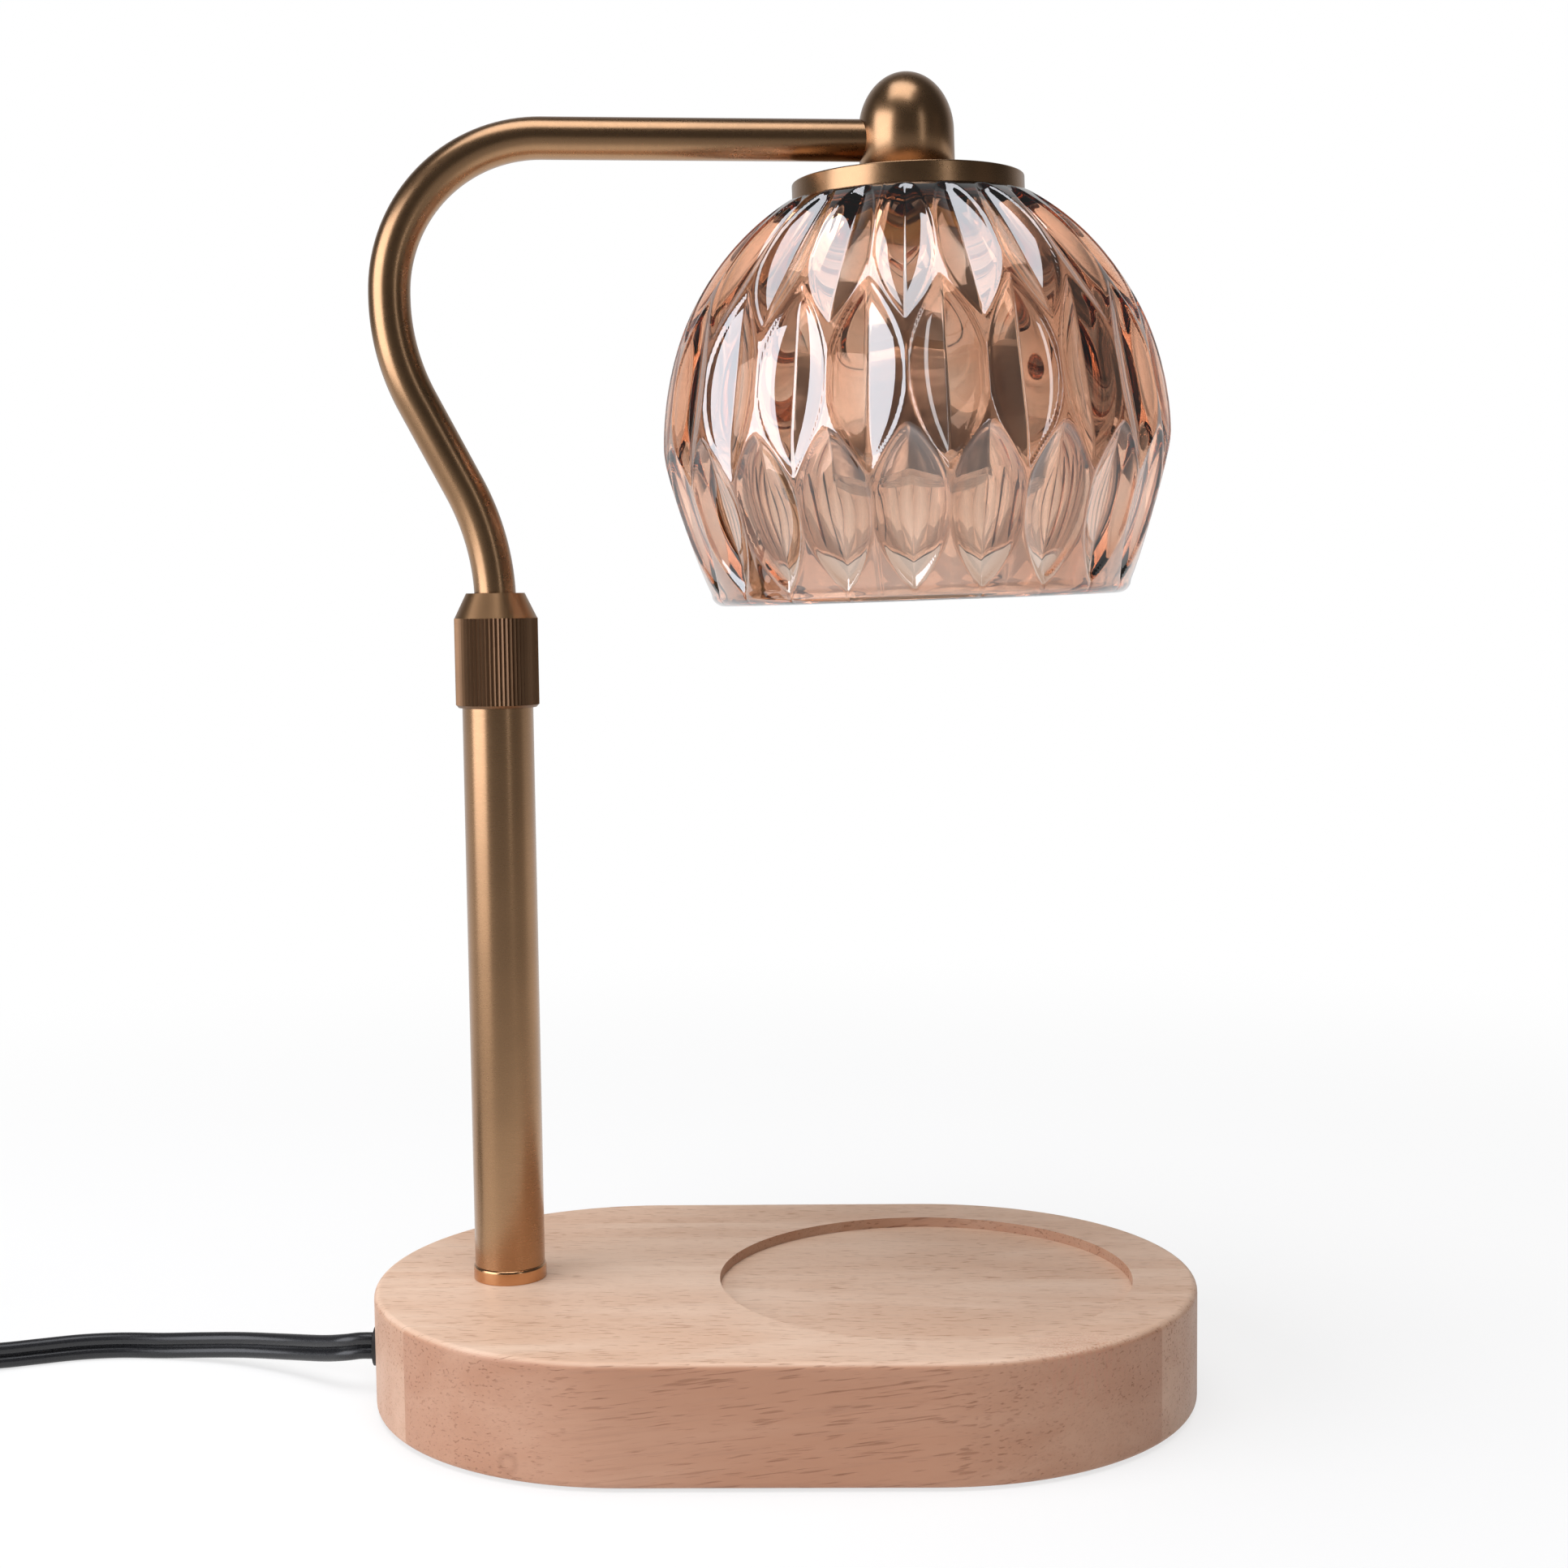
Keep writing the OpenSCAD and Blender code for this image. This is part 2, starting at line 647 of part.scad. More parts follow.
module bulb_capsule() {
    top = holder_low - neck_h + (bulb_face - holder_low + neck_h) / 10;
    color("white") on_head() {
        translate([0, 0, top - 14]) cylinder(r = 4, h = 14);
        translate([0, 0, top - 14]) sphere(r = 4);
    }
}

module bulb_lens() {
    color(glass, 0.5) on_head() washer(bulb_dia / 2 - 0.5, 0, bulb_face - 2.2, 2.2);
}

// ---- cord ----

module cord() {
    ends = [[end_x - grommet_show, 0, outlet_z], [end_x - grommet_show - 4, 0, outlet_z]];
    last = [for (s = [-6, case_grip]) concat(case_in + s * heading(case_turn), [case_cord_z])];
    color(black) swept(concat(ends, route, last), flat_8(cord_t, cord_w));
}

// Turn k's radius and height: in for half the turns, up a layer where it reverses, and out again
function coil_r(t) = coil_out - coil_pitch * (coil_turns / 2 - abs(t - coil_turns / 2));
function coil_z(t) = cord_rest + coil_rise * min(1, max(0, (t - coil_turns / 2) * 2 + 0.5));
function coil_point(t) = concat(coil_mid + coil_r(t) * heading(coil_start - 360 * t), [coil_z(t)]);
coil_steps = round(coil_turns * coil_rings);
plug_turn = coil_end - 90;          // heading of the cord where it leaves the coil
coil_exit = coil_mid + coil_out * heading(coil_end);
plug_at = coil_exit + 24 * heading(plug_turn);
plug_z = plug_t / 2 + 0.05;

function coil_path() = concat(
    [for (s = [-case_grip, 7.5]) concat(case_out + s * heading(case_turn), [case_cord_z])],
    [for (k = [0:coil_steps]) coil_point(k * coil_turns / coil_steps)],
    [concat(coil_exit + 9 * heading(plug_turn), [cord_rest + coil_rise - 1]),
        concat(coil_exit + 17 * heading(plug_turn), [plug_z]), concat(plug_at, [plug_z])]);

// Least distance between the surfaces of turns that pass each other
function least_gap(path, section) =
    let (n = len(path), rings = [for (i = [0:n - 1]) tube_ring(path, i, section)])
    min([for (i = [0:n - 14], j = [i + 12:n - 1]) if (norm(path[i] - path[j]) < 1.5 * cord_w)
        each [for (a = rings[i], b = rings[j]) norm(a - b)]]);

module cord_coil() {
    section = flat_6(cord_t, cord_w);
    echo(least_gap_of_the_coil = least_gap(coil_path(), section));
    color(black) swept(coil_path(), section);
}

// ---- dimmer on the cord ----

split_z = case_cord_z;
wheel_z = case_h + 1.4 - wheel_dia / 2;
wall = 2;

module on_case() {
    translate([case_in[0], case_in[1], 0]) rotate([0, 0, case_turn]) translate([case_len / 2, 0, 0])
        children();
}

// The cord's sockets in the two ends, with room for the cord to be pressed in
module cord_holes() {
    for (s = [-1, 1]) translate([s * case_len / 2, 0, case_cord_z]) rotate([0, 90, 0])
        translate([0, 0, -case_grip]) linear_extrude(2 * case_grip) oblong(cord_w + 0.6, cord_t + 0.6);
}

// Hollow of the case, which leaves thick ends round the cord's sockets
module case_hollow(z, h) {
    translate([0, 0, z]) linear_extrude(h)
        oblong(case_len - 2 * (case_grip + wall), case_w - 2 * wall);
}

module case_screws_at(z) {
    for (s = [-1, 1]) translate([s * (case_len / 2 - 13), 0, z]) children();
}

module switch_base() {
    pillar = wheel_z + 2.6;
    color(black) on_case() difference() {
        union() {
            difference() {
                translate([0, 0, 0.1]) linear_extrude(split_z - 0.1) oblong(case_len, case_w);
                case_hollow(wall + 0.2, case_h);
            }
            for (s = [-1, 1]) translate([-2, s * 4.8 - 1, wall]) cube([4, 2, pillar - wall]);
            case_screws_at(wall) cylinder(r = 3.4, h = split_z - wall);
        }
        cord_holes();
        rotate([90, 0, 0]) translate([0, wheel_z, -10]) cylinder(r = 1.3, h = 20);
        case_screws_at(-1) cylinder(r = 1.5, h = 10);
        case_screws_at(-1) cylinder(r = 2.8, h = 2.8);
    }
}

module switch_cover() {
    color(black) on_case() difference() {
        translate([0, 0, split_z]) linear_extrude(case_h - split_z) oblong(case_len, case_w);
        difference() {
            case_hollow(split_z - 1, case_h - split_z + 1 - wall);
            case_screws_at(split_z - 2) cylinder(r = 3.4, h = case_h);
        }
        cord_holes();
        translate([-wheel_dia / 2 - 0.6, -2.9, case_h - wall - 1]) cube([wheel_dia + 1.2, 5.8, wall + 2]);
        translate([-2.4, -6.2, case_h - wall - 2]) cube([4.8, 12.4, 2.6]);
        case_screws_at(0) cylinder(r = 1.3, h = 12);
    }
}

module switch_board() {
    color("green") on_case() translate([6.5, -8, wall + 0.2]) cube([8, 16, 1.6]);
}

module switch_wheel() {
    color(bronze) on_case() translate([0, 0, wheel_z]) rotate([90, 0, 0]) {
        translate([0, 0, -2.3]) linear_extrude(4.6)
            polygon([for (i = [0:47]) (i % 2 == 0 ? 1 : 0.95) * wheel_dia / 2 * heading(7.5 * i)]);
        translate([0, 0, -5.8]) cylinder(r = 1.22, h = 11.6);
    }
}

module switch_screws() {
    color(steel) on_case() case_screws_at(0) {
        translate([0, 0, 0.4]) cylinder(r = 2.6, h = 1.4);
        translate([0, 0, 0.4]) cylinder(r = 1.3, h = 10);
    }
}

// ---- plug ----

relief = 22;        // length of the tapered strain relief

module on_plug() {
    translate([plug_at[0], plug_at[1], plug_z]) rotate([0, 0, plug_turn]) children();
}

module plug_body() {
    color(black) on_plug() difference() {
        union() {
            rotate([0, 90, 0]) cylinder(r1 = cord_w / 2 + 0.6, r2 = cord_w / 2 + 1.8, h = relief);
            translate([0, 0, -plug_t / 2]) linear_extrude(plug_t)
                polygon([[relief - 2, -plug_w * 0.2], [relief + plug_len * 0.4, -plug_w / 2],
                    [relief + plug_len - 1.5, -plug_w / 2], [relief + plug_len, -plug_w / 2 + 1.5],
                    [relief + plug_len, plug_w / 2 - 1.5], [relief + plug_len - 1.5, plug_w / 2],
                    [relief + plug_len * 0.4, plug_w / 2], [relief - 2, plug_w * 0.2]]);
        }
        blades(8);
    }
}

// Two flat blades, 12.7 mm apart
module blades(back) {
    for (s = [-1, 1]) translate([relief + plug_len - back, s * 6.35 - 0.75, -3.15]) cube([back + 17, 1.5, 6.3]);
}

module plug_blades() {
    color(brass) on_plug() difference() {
        blades(8);
        for (s = [-1, 1]) translate([relief + plug_len + 12.5, s * 6.35 + 2, 0]) rotate([90, 0, 0])
            cylinder(d = 3, h = 4);
    }
}

wood_base();
base_pad();
bottom_cover();
cover_screws();
grommet();
inner_lead();
base_stud();
stud_washer();
stud_nut();
foot_ring();
post_tube();
post_insert();
post_neck();
collet();
press_ring();
lock_collar();
arm_tube();
arm_guide();
arm_lead();
dome_cap();
head_nipple();
shade_disc();
lamp_holder();
holder_contacts();
clamp_ring();
glass_shade();
bulb_base();
bulb_pins();
bulb_reflector();
bulb_capsule();
bulb_lens();
cord();
cord_coil();
switch_base();
switch_cover();
switch_board();
switch_wheel();
switch_screws();
plug_body();
plug_blades();
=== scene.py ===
from math import asin, ceil, cos, pi, radians, sin, sqrt, tan

import bmesh
import bpy
from mathutils import Matrix, Vector


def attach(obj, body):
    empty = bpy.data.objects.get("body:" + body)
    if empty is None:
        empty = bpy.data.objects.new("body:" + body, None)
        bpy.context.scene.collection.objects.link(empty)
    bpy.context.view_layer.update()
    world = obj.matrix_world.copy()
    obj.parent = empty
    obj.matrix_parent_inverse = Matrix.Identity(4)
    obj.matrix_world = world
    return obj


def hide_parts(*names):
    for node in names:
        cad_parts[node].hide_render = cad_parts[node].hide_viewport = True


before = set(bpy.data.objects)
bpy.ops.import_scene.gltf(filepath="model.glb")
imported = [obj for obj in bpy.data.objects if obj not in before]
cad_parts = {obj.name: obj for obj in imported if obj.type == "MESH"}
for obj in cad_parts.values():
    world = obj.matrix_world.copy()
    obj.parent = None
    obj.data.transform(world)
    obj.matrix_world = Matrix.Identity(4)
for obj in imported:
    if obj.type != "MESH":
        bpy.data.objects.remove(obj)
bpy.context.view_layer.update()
mm = 0.001


# helpers for meshes

def addPiece(name, points, faces, body, slotName, material):
    mesh = bpy.data.meshes.new(name)
    mesh.from_pydata([tuple(p) for p in points], [], faces)
    mesh.materials.append(material)
    mesh.validate()
    shape = bmesh.new()
    shape.from_mesh(mesh)
    bmesh.ops.recalc_face_normals(shape, faces=shape.faces)
    shape.to_mesh(mesh)
    shape.free()
    mesh.polygons.foreach_set("use_smooth", [True] * len(mesh.polygons))
    piece = bpy.data.objects.new(name, mesh)
    bpy.context.scene.collection.objects.link(piece)
    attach(piece, body)
    return piece


def skin(rings, closedLoop=False):
    # faces over rings of equal length: a loop joins its own start, a run gets a cap at each end
    count = len(rings[0])
    faces = []
    last = len(rings) if closedLoop else len(rings) - 1
    for i in range(last):
        a = i * count
        b = (i + 1) % len(rings) * count
        for j in range(count):
            k = (j + 1) % count
            faces.append((a + j, a + k, b + k, b + j))
    if not closedLoop:
        faces.append(tuple(reversed(range(count))))
        faces.append(tuple(range((len(rings) - 1) * count, len(rings) * count)))
    return [p for ring in rings for p in ring], faces


rounding = {"steps": 5, "straight": 0.02, "mostOfSide": 0.49}


def roundCorners(corners):
    # an outline from corners of (x, y, radius)
    line = []
    most = rounding["mostOfSide"]
    for i, (x, y, radius) in enumerate(corners):
        here = Vector((x, y))
        back = Vector(corners[i - 1][:2]) - here
        on = Vector(corners[(i + 1) % len(corners)][:2]) - here
        turn = pi - back.angle(on)
        if radius <= 0 or turn < rounding["straight"]:
            line.append(here)
            continue
        reach = min(radius * tan(turn / 2), most * back.length, most * on.length)
        start = here + back.normalized() * reach
        end = here + on.normalized() * reach
        for k in range(rounding["steps"] + 1):
            u = k / rounding["steps"]
            line.append(start * (1 - u) ** 2 + here * 2 * u * (1 - u) + end * u ** 2)
    return line


def lathe(outline, steps, place):
    # turns a closed outline of (radius, height) about the place's Z axis
    rings = []
    for i in range(steps):
        a = 2 * pi * i / steps
        rings.append([place @ Vector((p[0] * cos(a), p[0] * sin(a), p[1])) for p in outline])
    return skin(rings, closedLoop=True)


def smoothPath(points, gap):
    # a Catmull-Rom curve through the points, cut into steps of about one gap
    line = []
    for i in range(len(points) - 1):
        before = points[max(i - 1, 0)]
        a, b = points[i], points[i + 1]
        after = points[min(i + 2, len(points) - 1)]
        count = max(1, ceil((b - a).length / gap))
        for k in range(count):
            u = k / count
            line.append(0.5 * (2 * a + (b - before) * u
                               + (2 * before - 5 * a + 4 * b - after) * u ** 2
                               + (3 * a - before - 3 * b + after) * u ** 3))
    line.append(points[-1])
    return line


def directionAt(line, i):
    return (line[min(i + 1, len(line) - 1)] - line[max(i - 1, 0)]).normalized()


def sweep(path, section):
    # section points are (aside, up): the tall side stays upright along the path
    rings = []
    for i, point in enumerate(path):
        ahead = directionAt(path, i)
        aside = Vector((0, 0, 1)).cross(ahead).normalized()
        up = ahead.cross(aside)
        rings.append([point + aside * s[0] + up * s[1] for s in section])
    return skin(rings)


def pathLength(path):
    return sum((path[i + 1] - path[i]).length for i in range(len(path) - 1))


# helpers for shaders

class Wire:
    # an output socket that can be reckoned with, also with plain numbers on either side
    def __init__(self, graph, socket):
        self.graph = graph
        self.socket = socket

    def maths(self, kind, first, second):
        return self.graph.add("ShaderNodeMath", {"operation": kind}, {0: first, 1: second})

    def __add__(self, other):
        return self.maths("ADD", self, other)

    def __radd__(self, other):
        return self.maths("ADD", other, self)

    def __sub__(self, other):
        return self.maths("SUBTRACT", self, other)

    def __rsub__(self, other):
        return self.maths("SUBTRACT", other, self)

    def __mul__(self, other):
        return self.maths("MULTIPLY", self, other)

    def __rmul__(self, other):
        return self.maths("MULTIPLY", other, self)

    def __truediv__(self, other):
        return self.maths("DIVIDE", self, other)

    def __rtruediv__(self, other):
        return self.maths("DIVIDE", other, self)

    def fade(self, low, high, to=(0, 1)):
        return self.graph.add("ShaderNodeMapRange", {"interpolation_type": "SMOOTHSTEP"},
                              {"Value": self, "From Min": low, "From Max": high,
                               "To Min": to[0], "To Max": to[1]})


class Graph:
    # the emptied node tree of a material or of the world
    def __init__(self, owner):
        owner.use_nodes = True
        self.owner = owner
        self.tree = owner.node_tree
        self.tree.nodes.clear()

    def add(self, kind, settings=None, sockets=None, out=0):
        node = self.tree.nodes.new(kind)
        for key, value in (settings or {}).items():
            setattr(node, key, value)
        for key, value in (sockets or {}).items():
            if isinstance(value, Wire):
                self.tree.links.new(value.socket, node.inputs[key])
            elif node.inputs[key].type == "RGBA" and len(value) == 3:
                node.inputs[key].default_value = (*value, 1)
            else:
                node.inputs[key].default_value = value
        return Wire(self, node.outputs[out]) if node.outputs else None

    def place(self):
        return self.add("ShaderNodeTexCoord", out="Object")

    def stretch(self, vector, by, turn=(0, 0, 0)):
        return self.add("ShaderNodeMapping", None,
                        {"Vector": vector, "Scale": by, "Rotation": turn})

    def noise(self, vector, scale=1.0, detail=2.0, rough=0.5, distortion=0.0):
        return self.add("ShaderNodeTexNoise", None,
                        {"Vector": vector, "Scale": scale, "Detail": detail, "Roughness": rough,
                         "Distortion": distortion})

    def distance(self, vector, spot):
        return self.add("ShaderNodeVectorMath", {"operation": "DISTANCE"}, {0: vector, 1: spot},
                        out="Value")

    def mix(self, factor, first, second, kind="MIX"):
        # inputs 6 and 7 of the Mix node are its two colours, output 2 the result
        return self.add("ShaderNodeMix", {"data_type": "RGBA", "blend_type": kind},
                        {0: factor, 6: first, 7: second}, out=2)

    def axes(self, vector):
        parts = self.add("ShaderNodeSeparateXYZ", None, {"Vector": vector})
        return [Wire(self, parts.socket.node.outputs[i]) for i in range(3)]

    def rays(self):
        # whether the eye looks straight, in a mirror or through glass
        return [self.add("ShaderNodeLightPath", out=f"Is {kind} Ray")
                for kind in ("Camera", "Glossy", "Transmission")]

    def bump(self, height, strength, depth):
        return self.add("ShaderNodeBump", None,
                        {"Height": height, "Strength": strength, "Distance": depth})

    def finish(self, **sockets):
        named = {key.replace("_", " "): value for key, value in sockets.items()}
        shader = self.add("ShaderNodeBsdfPrincipled", None, named)
        self.add("ShaderNodeOutputMaterial", None, {"Surface": shader})
        return self.owner


def newGraph(name):
    return Graph(bpy.data.materials.new(name))


def toned(colour, by):
    return [min(1, c * by) for c in colour]


def dress(material, *names):
    for name in names:
        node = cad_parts[name]
        node.data.materials.clear()
        node.data.materials.append(material)


# camera: lens and sensor in millimetres, angles in degrees

camera = {"lens": 52.28, "sensor": 36, "near": 0.01, "place": (0.01611, -0.60118, 0.21509),
          "yaw": -1.41, "pitch": 4.81, "roll": -0.68}


def addCamera():
    yaw, pitch, roll = (radians(camera[k]) for k in ("yaw", "pitch", "roll"))
    level = Vector((sin(yaw), cos(yaw), 0))
    side = Vector((cos(yaw), -sin(yaw), 0))
    ahead = level * cos(pitch) - Vector((0, 0, 1)) * sin(pitch)
    above = Vector((0, 0, 1)) * cos(pitch) + level * sin(pitch)
    right = side * cos(roll) + above * sin(roll)
    up = above * cos(roll) - side * sin(roll)
    data = bpy.data.cameras.new("camera")
    data.lens = camera["lens"]
    data.sensor_width = camera["sensor"]
    data.clip_start = camera["near"]
    eye = bpy.data.objects.new("camera", data)
    bpy.context.scene.collection.objects.link(eye)
    turn = Matrix((right, up, -ahead)).transposed().to_4x4()
    eye.matrix_world = Matrix.Translation(camera["place"]) @ turn
    bpy.context.scene.camera = eye


addCamera()
print("camera placed")


# plain finishes: the tone wanders a little, fine grain shows in gloss and height

plainLook = {"coarser": 30, "toneSpread": 0.14, "glossSpread": 0.12, "bump": 0.35}


def plainFinish(name, colour, rough, grain=900, depth=0.00005, metallic=0.0, coat=0.0):
    g = newGraph(name)
    fine = g.noise(g.place(), grain, detail=3, rough=0.6)
    broad = g.noise(g.place(), grain / plainLook["coarser"])
    spread = plainLook["toneSpread"]
    tone = g.mix(broad, toned(colour, 1 - spread), toned(colour, 1 + spread))
    return g.finish(Base_Color=tone, Metallic=metallic,
                    Roughness=rough + (fine - 0.5) * plainLook["glossSpread"],
                    Coat_Weight=coat, Normal=g.bump(fine, plainLook["bump"], depth))


cordJacket = plainFinish("cordJacket", (0.016, 0.016, 0.018), 0.27, grain=700, depth=0.00003)
rubber = plainFinish("blackRubber", (0.014, 0.013, 0.013), 0.5, grain=1200)
foam = plainFinish("foamPad", (0.02, 0.02, 0.02), 0.85, grain=1500, depth=0.0001)
plastic = plainFinish("sparkedPlastic", (0.016, 0.016, 0.017), 0.42, grain=2600, depth=0.00004)
steel = plainFinish("zincSteel", (0.55, 0.55, 0.56), 0.3, grain=1800, depth=0.00001, metallic=1.0)
nylon = plainFinish("nylon", (0.75, 0.74, 0.70), 0.45, grain=1500)
bareBrass = plainFinish("bareBrass", (0.72, 0.50, 0.22), 0.25, grain=1600, depth=0.00001,
                        metallic=1.0)
ceramic = plainFinish("glazedCeramic", (0.78, 0.76, 0.71), 0.18, grain=500, depth=0.00001, coat=0.5)
board = plainFinish("circuitBoard", (0.02, 0.16, 0.05), 0.35, grain=2000)


# cord, dimmer, stored coil and plug: millimetres and degrees

cord = {"tall": 7.3, "thick": 3.65, "waist": 0.9, "lobeSteps": 14, "clear": 0.05, "step": 1.5,
        "start": [(-111.6, 0, 12.4), (-115.6, 0, 12.4)],
        "route": [(-120, 1, 11.6), (-127, 5.6, 9.8), (-139, 13.5, 7.6), (-153, 20.5, 5.8),
                  (-166, 24.5, 4.5), (-178, 26.5, 3.7), (-190, 27, 3.7), (-201, 25.5, 3.7),
                  (-212, 21.8, 3.7), (-221, 18, 3.9), (-230, 14.4, 4.6), (-239, 10.8, 5.5)]}
case = {"into": (-254.3, 4.7), "turn": 201.8, "cordHeight": 6, "length": 62, "grip": 4,
        "runIn": 6, "runOut": 7.5}
coil = {"turns": 6.56, "outside": 46, "pitch": 4.6, "lead": 26, "steps": 60, "layerGap": 0.7,
        "easing": 0.02, "climbTurns": 0.5, "step": 3}
plugSize = {"gap": 24, "length": 28, "width": 25, "thick": 15, "relief": 22,
            "ribs": 7, "ribStart": 2, "ribPitch": 2.5, "ribRadius": 4.5, "ribGrowth": 0.14,
            "groove": 0.7, "around": 48, "cordDown": 9, "cordLevel": 17, "cordDrop": 1}


def heading(degree):
    return Vector((cos(radians(degree)), sin(radians(degree)), 0))


def twinSection():
    # two round conductors with a narrow web between them, one above the other
    line = []
    lobe = cord["thick"] / 2
    rise = cord["tall"] / 2 - lobe
    cut = asin(cord["waist"] / 2 / lobe)
    steps = cord["lobeSteps"]
    for side in (-1, 1):
        for k in range(steps + 1):
            a = -pi / 2 + cut + (2 * pi - 2 * cut) * k / steps
            line.append((lobe * cos(a) * side * mm, (rise + lobe * sin(a)) * side * mm))
    return line


def addFreeCord(into, ahead):
    points = [Vector(p) for p in cord["start"] + cord["route"]]
    points += [into - ahead * case["runIn"], into + ahead * case["grip"]]
    path = [p * mm for p in smoothPath(points, cord["step"])]
    run = addPiece("cordRun", *sweep(path, twinSection()), "stand", "black_rubber", cordJacket)
    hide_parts("cord")
    round(pathLength(path), 3)


def addStoredCord(into, ahead):
    # the coil winds inwards on the floor, climbs in the middle and winds outwards on top
    rest = cord["tall"] / 2 + cord["clear"]
    rise = cord["tall"] + coil["layerGap"]
    out = into + ahead * case["length"]
    turns, outside = coil["turns"], coil["outside"]
    start = case["turn"] + 90
    middle = out + ahead * coil["lead"] + heading(case["turn"] - 90) * outside
    points = [out + ahead * s for s in (-case["grip"], case["runOut"])]
    steps = round(turns * coil["steps"])
    for k in range(steps + 1):
        past = k * turns / steps - turns / 2
        radius = outside - coil["pitch"] * (turns / 2 - sqrt(past ** 2 + coil["easing"] ** 2))
        height = rest + rise * min(1, max(0, past / coil["climbTurns"] + 0.5))
        spot = middle + heading(start - 360 * k * turns / steps) * radius
        points.append(Vector((spot.x, spot.y, height)))
    end = start - 360 * turns
    away = heading(end - 90)
    leave = middle + heading(end) * outside
    plugHeight = plugSize["thick"] / 2 + cord["clear"]
    for far, height in ((plugSize["cordDown"], rest + rise - plugSize["cordDrop"]),
                        (plugSize["cordLevel"], plugHeight), (plugSize["gap"], plugHeight)):
        spot = leave + away * far
        points.append(Vector((spot.x, spot.y, height)))
    path = [p * mm for p in smoothPath(points, coil["step"])]
    stored = addPiece("cordStored", *sweep(path, twinSection()), "stand", "black_rubber", cordJacket)
    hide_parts("cord_coil")
    plug = addPlug(leave + away * plugSize["gap"], plugHeight, end - 90)
    round(pathLength(path), 3)


def addPlug(spot, height, turn):
    middle = Vector((spot.x, spot.y, height)) * mm
    place = Matrix.Translation(middle) @ Matrix.Rotation(radians(turn), 4, "Z")
    relief, length = plugSize["relief"], plugSize["length"]
    wide, thick = plugSize["width"] / 2, plugSize["thick"] / 2
    # stations along the plug: place, half width, half thickness, squareness
    stations = [(0, 4.1, 4.1, 2.0), (0.6, 4.4, 4.4, 2.0)]
    for k in range(plugSize["ribs"]):
        x = plugSize["ribStart"] + k * plugSize["ribPitch"]
        r = plugSize["ribRadius"] + k * plugSize["ribGrowth"]
        low = r - plugSize["groove"]
        stations += [(x, r, r, 2.0), (x + 0.5, low, low, 2.0), (x + 1.2, low, low, 2.0),
                     (x + 1.7, r + 0.1, r + 0.1, 2.0)]
    stations += [(relief - 1.5, 5.4, 5.4, 2.1), (relief, 7.2, 6.3, 2.6),
                 (relief + 3, 9.4, 7.1, 3.2), (relief + 7, 11.3, thick, 4.0),
                 (relief + 12, wide, thick, 4.5), (relief + length - 3, wide, thick, 5.0),
                 (relief + length - 0.9, wide - 0.2, thick - 0.2, 5.0),
                 (relief + length, wide - 1, thick - 1, 5.0)]
    rings = []
    for x, a, b, power in stations:
        ring = []
        for k in range(plugSize["around"]):
            angle = 2 * pi * k / plugSize["around"]
            c, s = cos(angle), sin(angle)
            size = (abs(c) ** power + abs(s) ** power) ** (-1 / power)
            ring.append(place @ (Vector((x, a * c * size, b * s * size)) * mm))
        rings.append(ring)
    plug = addPiece("plugMoulding", *skin(rings), "stand", "black_plastic", plastic)
    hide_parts("plug_body")
    return plug


caseEntry = Vector((*case["into"], case["cordHeight"]))
addFreeCord(caseEntry, heading(case["turn"]))
addStoredCord(caseEntry, heading(case["turn"]))
dress(plastic, "switch_base", "switch_cover", "bottom_cover")
dress(rubber, "grommet", "inner_lead", "arm_lead")
dress(foam, "base_pad")
dress(board, "switch_board")
dress(bareBrass, "plug_blades", "holder_contacts")
dress(nylon, "collet", "arm_guide")
dress(steel, "cover_screws", "base_stud", "stud_washer", "stud_nut", "post_insert", "post_neck",
      "press_ring", "head_nipple", "switch_screws", "bulb_pins")
dress(ceramic, "lamp_holder", "bulb_base")
print("cords laid and small parts dressed")


# wood: places and sizes in metres, angles in degrees

# the side tint and its easing on the other staves darken the edge faces: painted shade, partly the
# side grain's own darker tone
wood = {"pale": (0.77, 0.565, 0.43), "warm": (0.66, 0.43, 0.30), "line": (0.56, 0.38, 0.28),
        "pore": (0.30, 0.14, 0.08), "torn": (0.55, 0.25, 0.16), "sideShadeAndGrainTint": (0.71, 0.545, 0.465),
        "otherStavesShadeEase": 0.6, "rough": 0.5, "poreRough": 0.2, "lineGloss": 0.08, "shine": 0.4,
        "lineHeight": 0.25, "bump": 0.6, "bumpDepth": 0.00015,
        "tilt": 7, "skew": 2, "joint": -0.0435, "jointBlend": 0.0002, "stave": 0.047,
        "staveShift": (0.37, 0.61, 0.23), "sideFade": (0.3, 0.9), "toneFade": (0.3, 0.7),
        "bandFade": (0.38, 0.72), "lineFade": (0.5, 0.75), "grainMix": 0.4,
        "dashFade": (0.60, 0.70), "dashRegion": (0.3, 0.62, (0.15, 1)), "fineFade": (0.64, 0.74),
        "finePores": 0.5, "poreMix": 0.4, "sidePores": 0.22,
        "knot": (-0.066, -0.066, 0.005), "knotOutside": (0.0022, 0.0036),
        "knotInside": (0.0006, 0.0022), "knotMix": 0.3,
        "roughSpot": (0.0742, -0.0621, 0.0305), "tornReach": (0.004, 0.02), "tornMix": 0.5,
        "tornScale": (1600, 1600, 250), "tornFade": (0.45, 0.62)}
# layers of grain: changes per metre along and across the fibres, detail, roughness, distortion
grainLayers = {"broad": (6, 38, 3, 0.55, 0.8), "bands": (9, 170, 4, 0.6, 0.4),
               "lines": (16, 800, 3, 0.65, 0.0), "dash": (75, 1500, 1, 0.4, 0.0),
               "fine": (150, 3000, 1, 0.4, 0.0)}


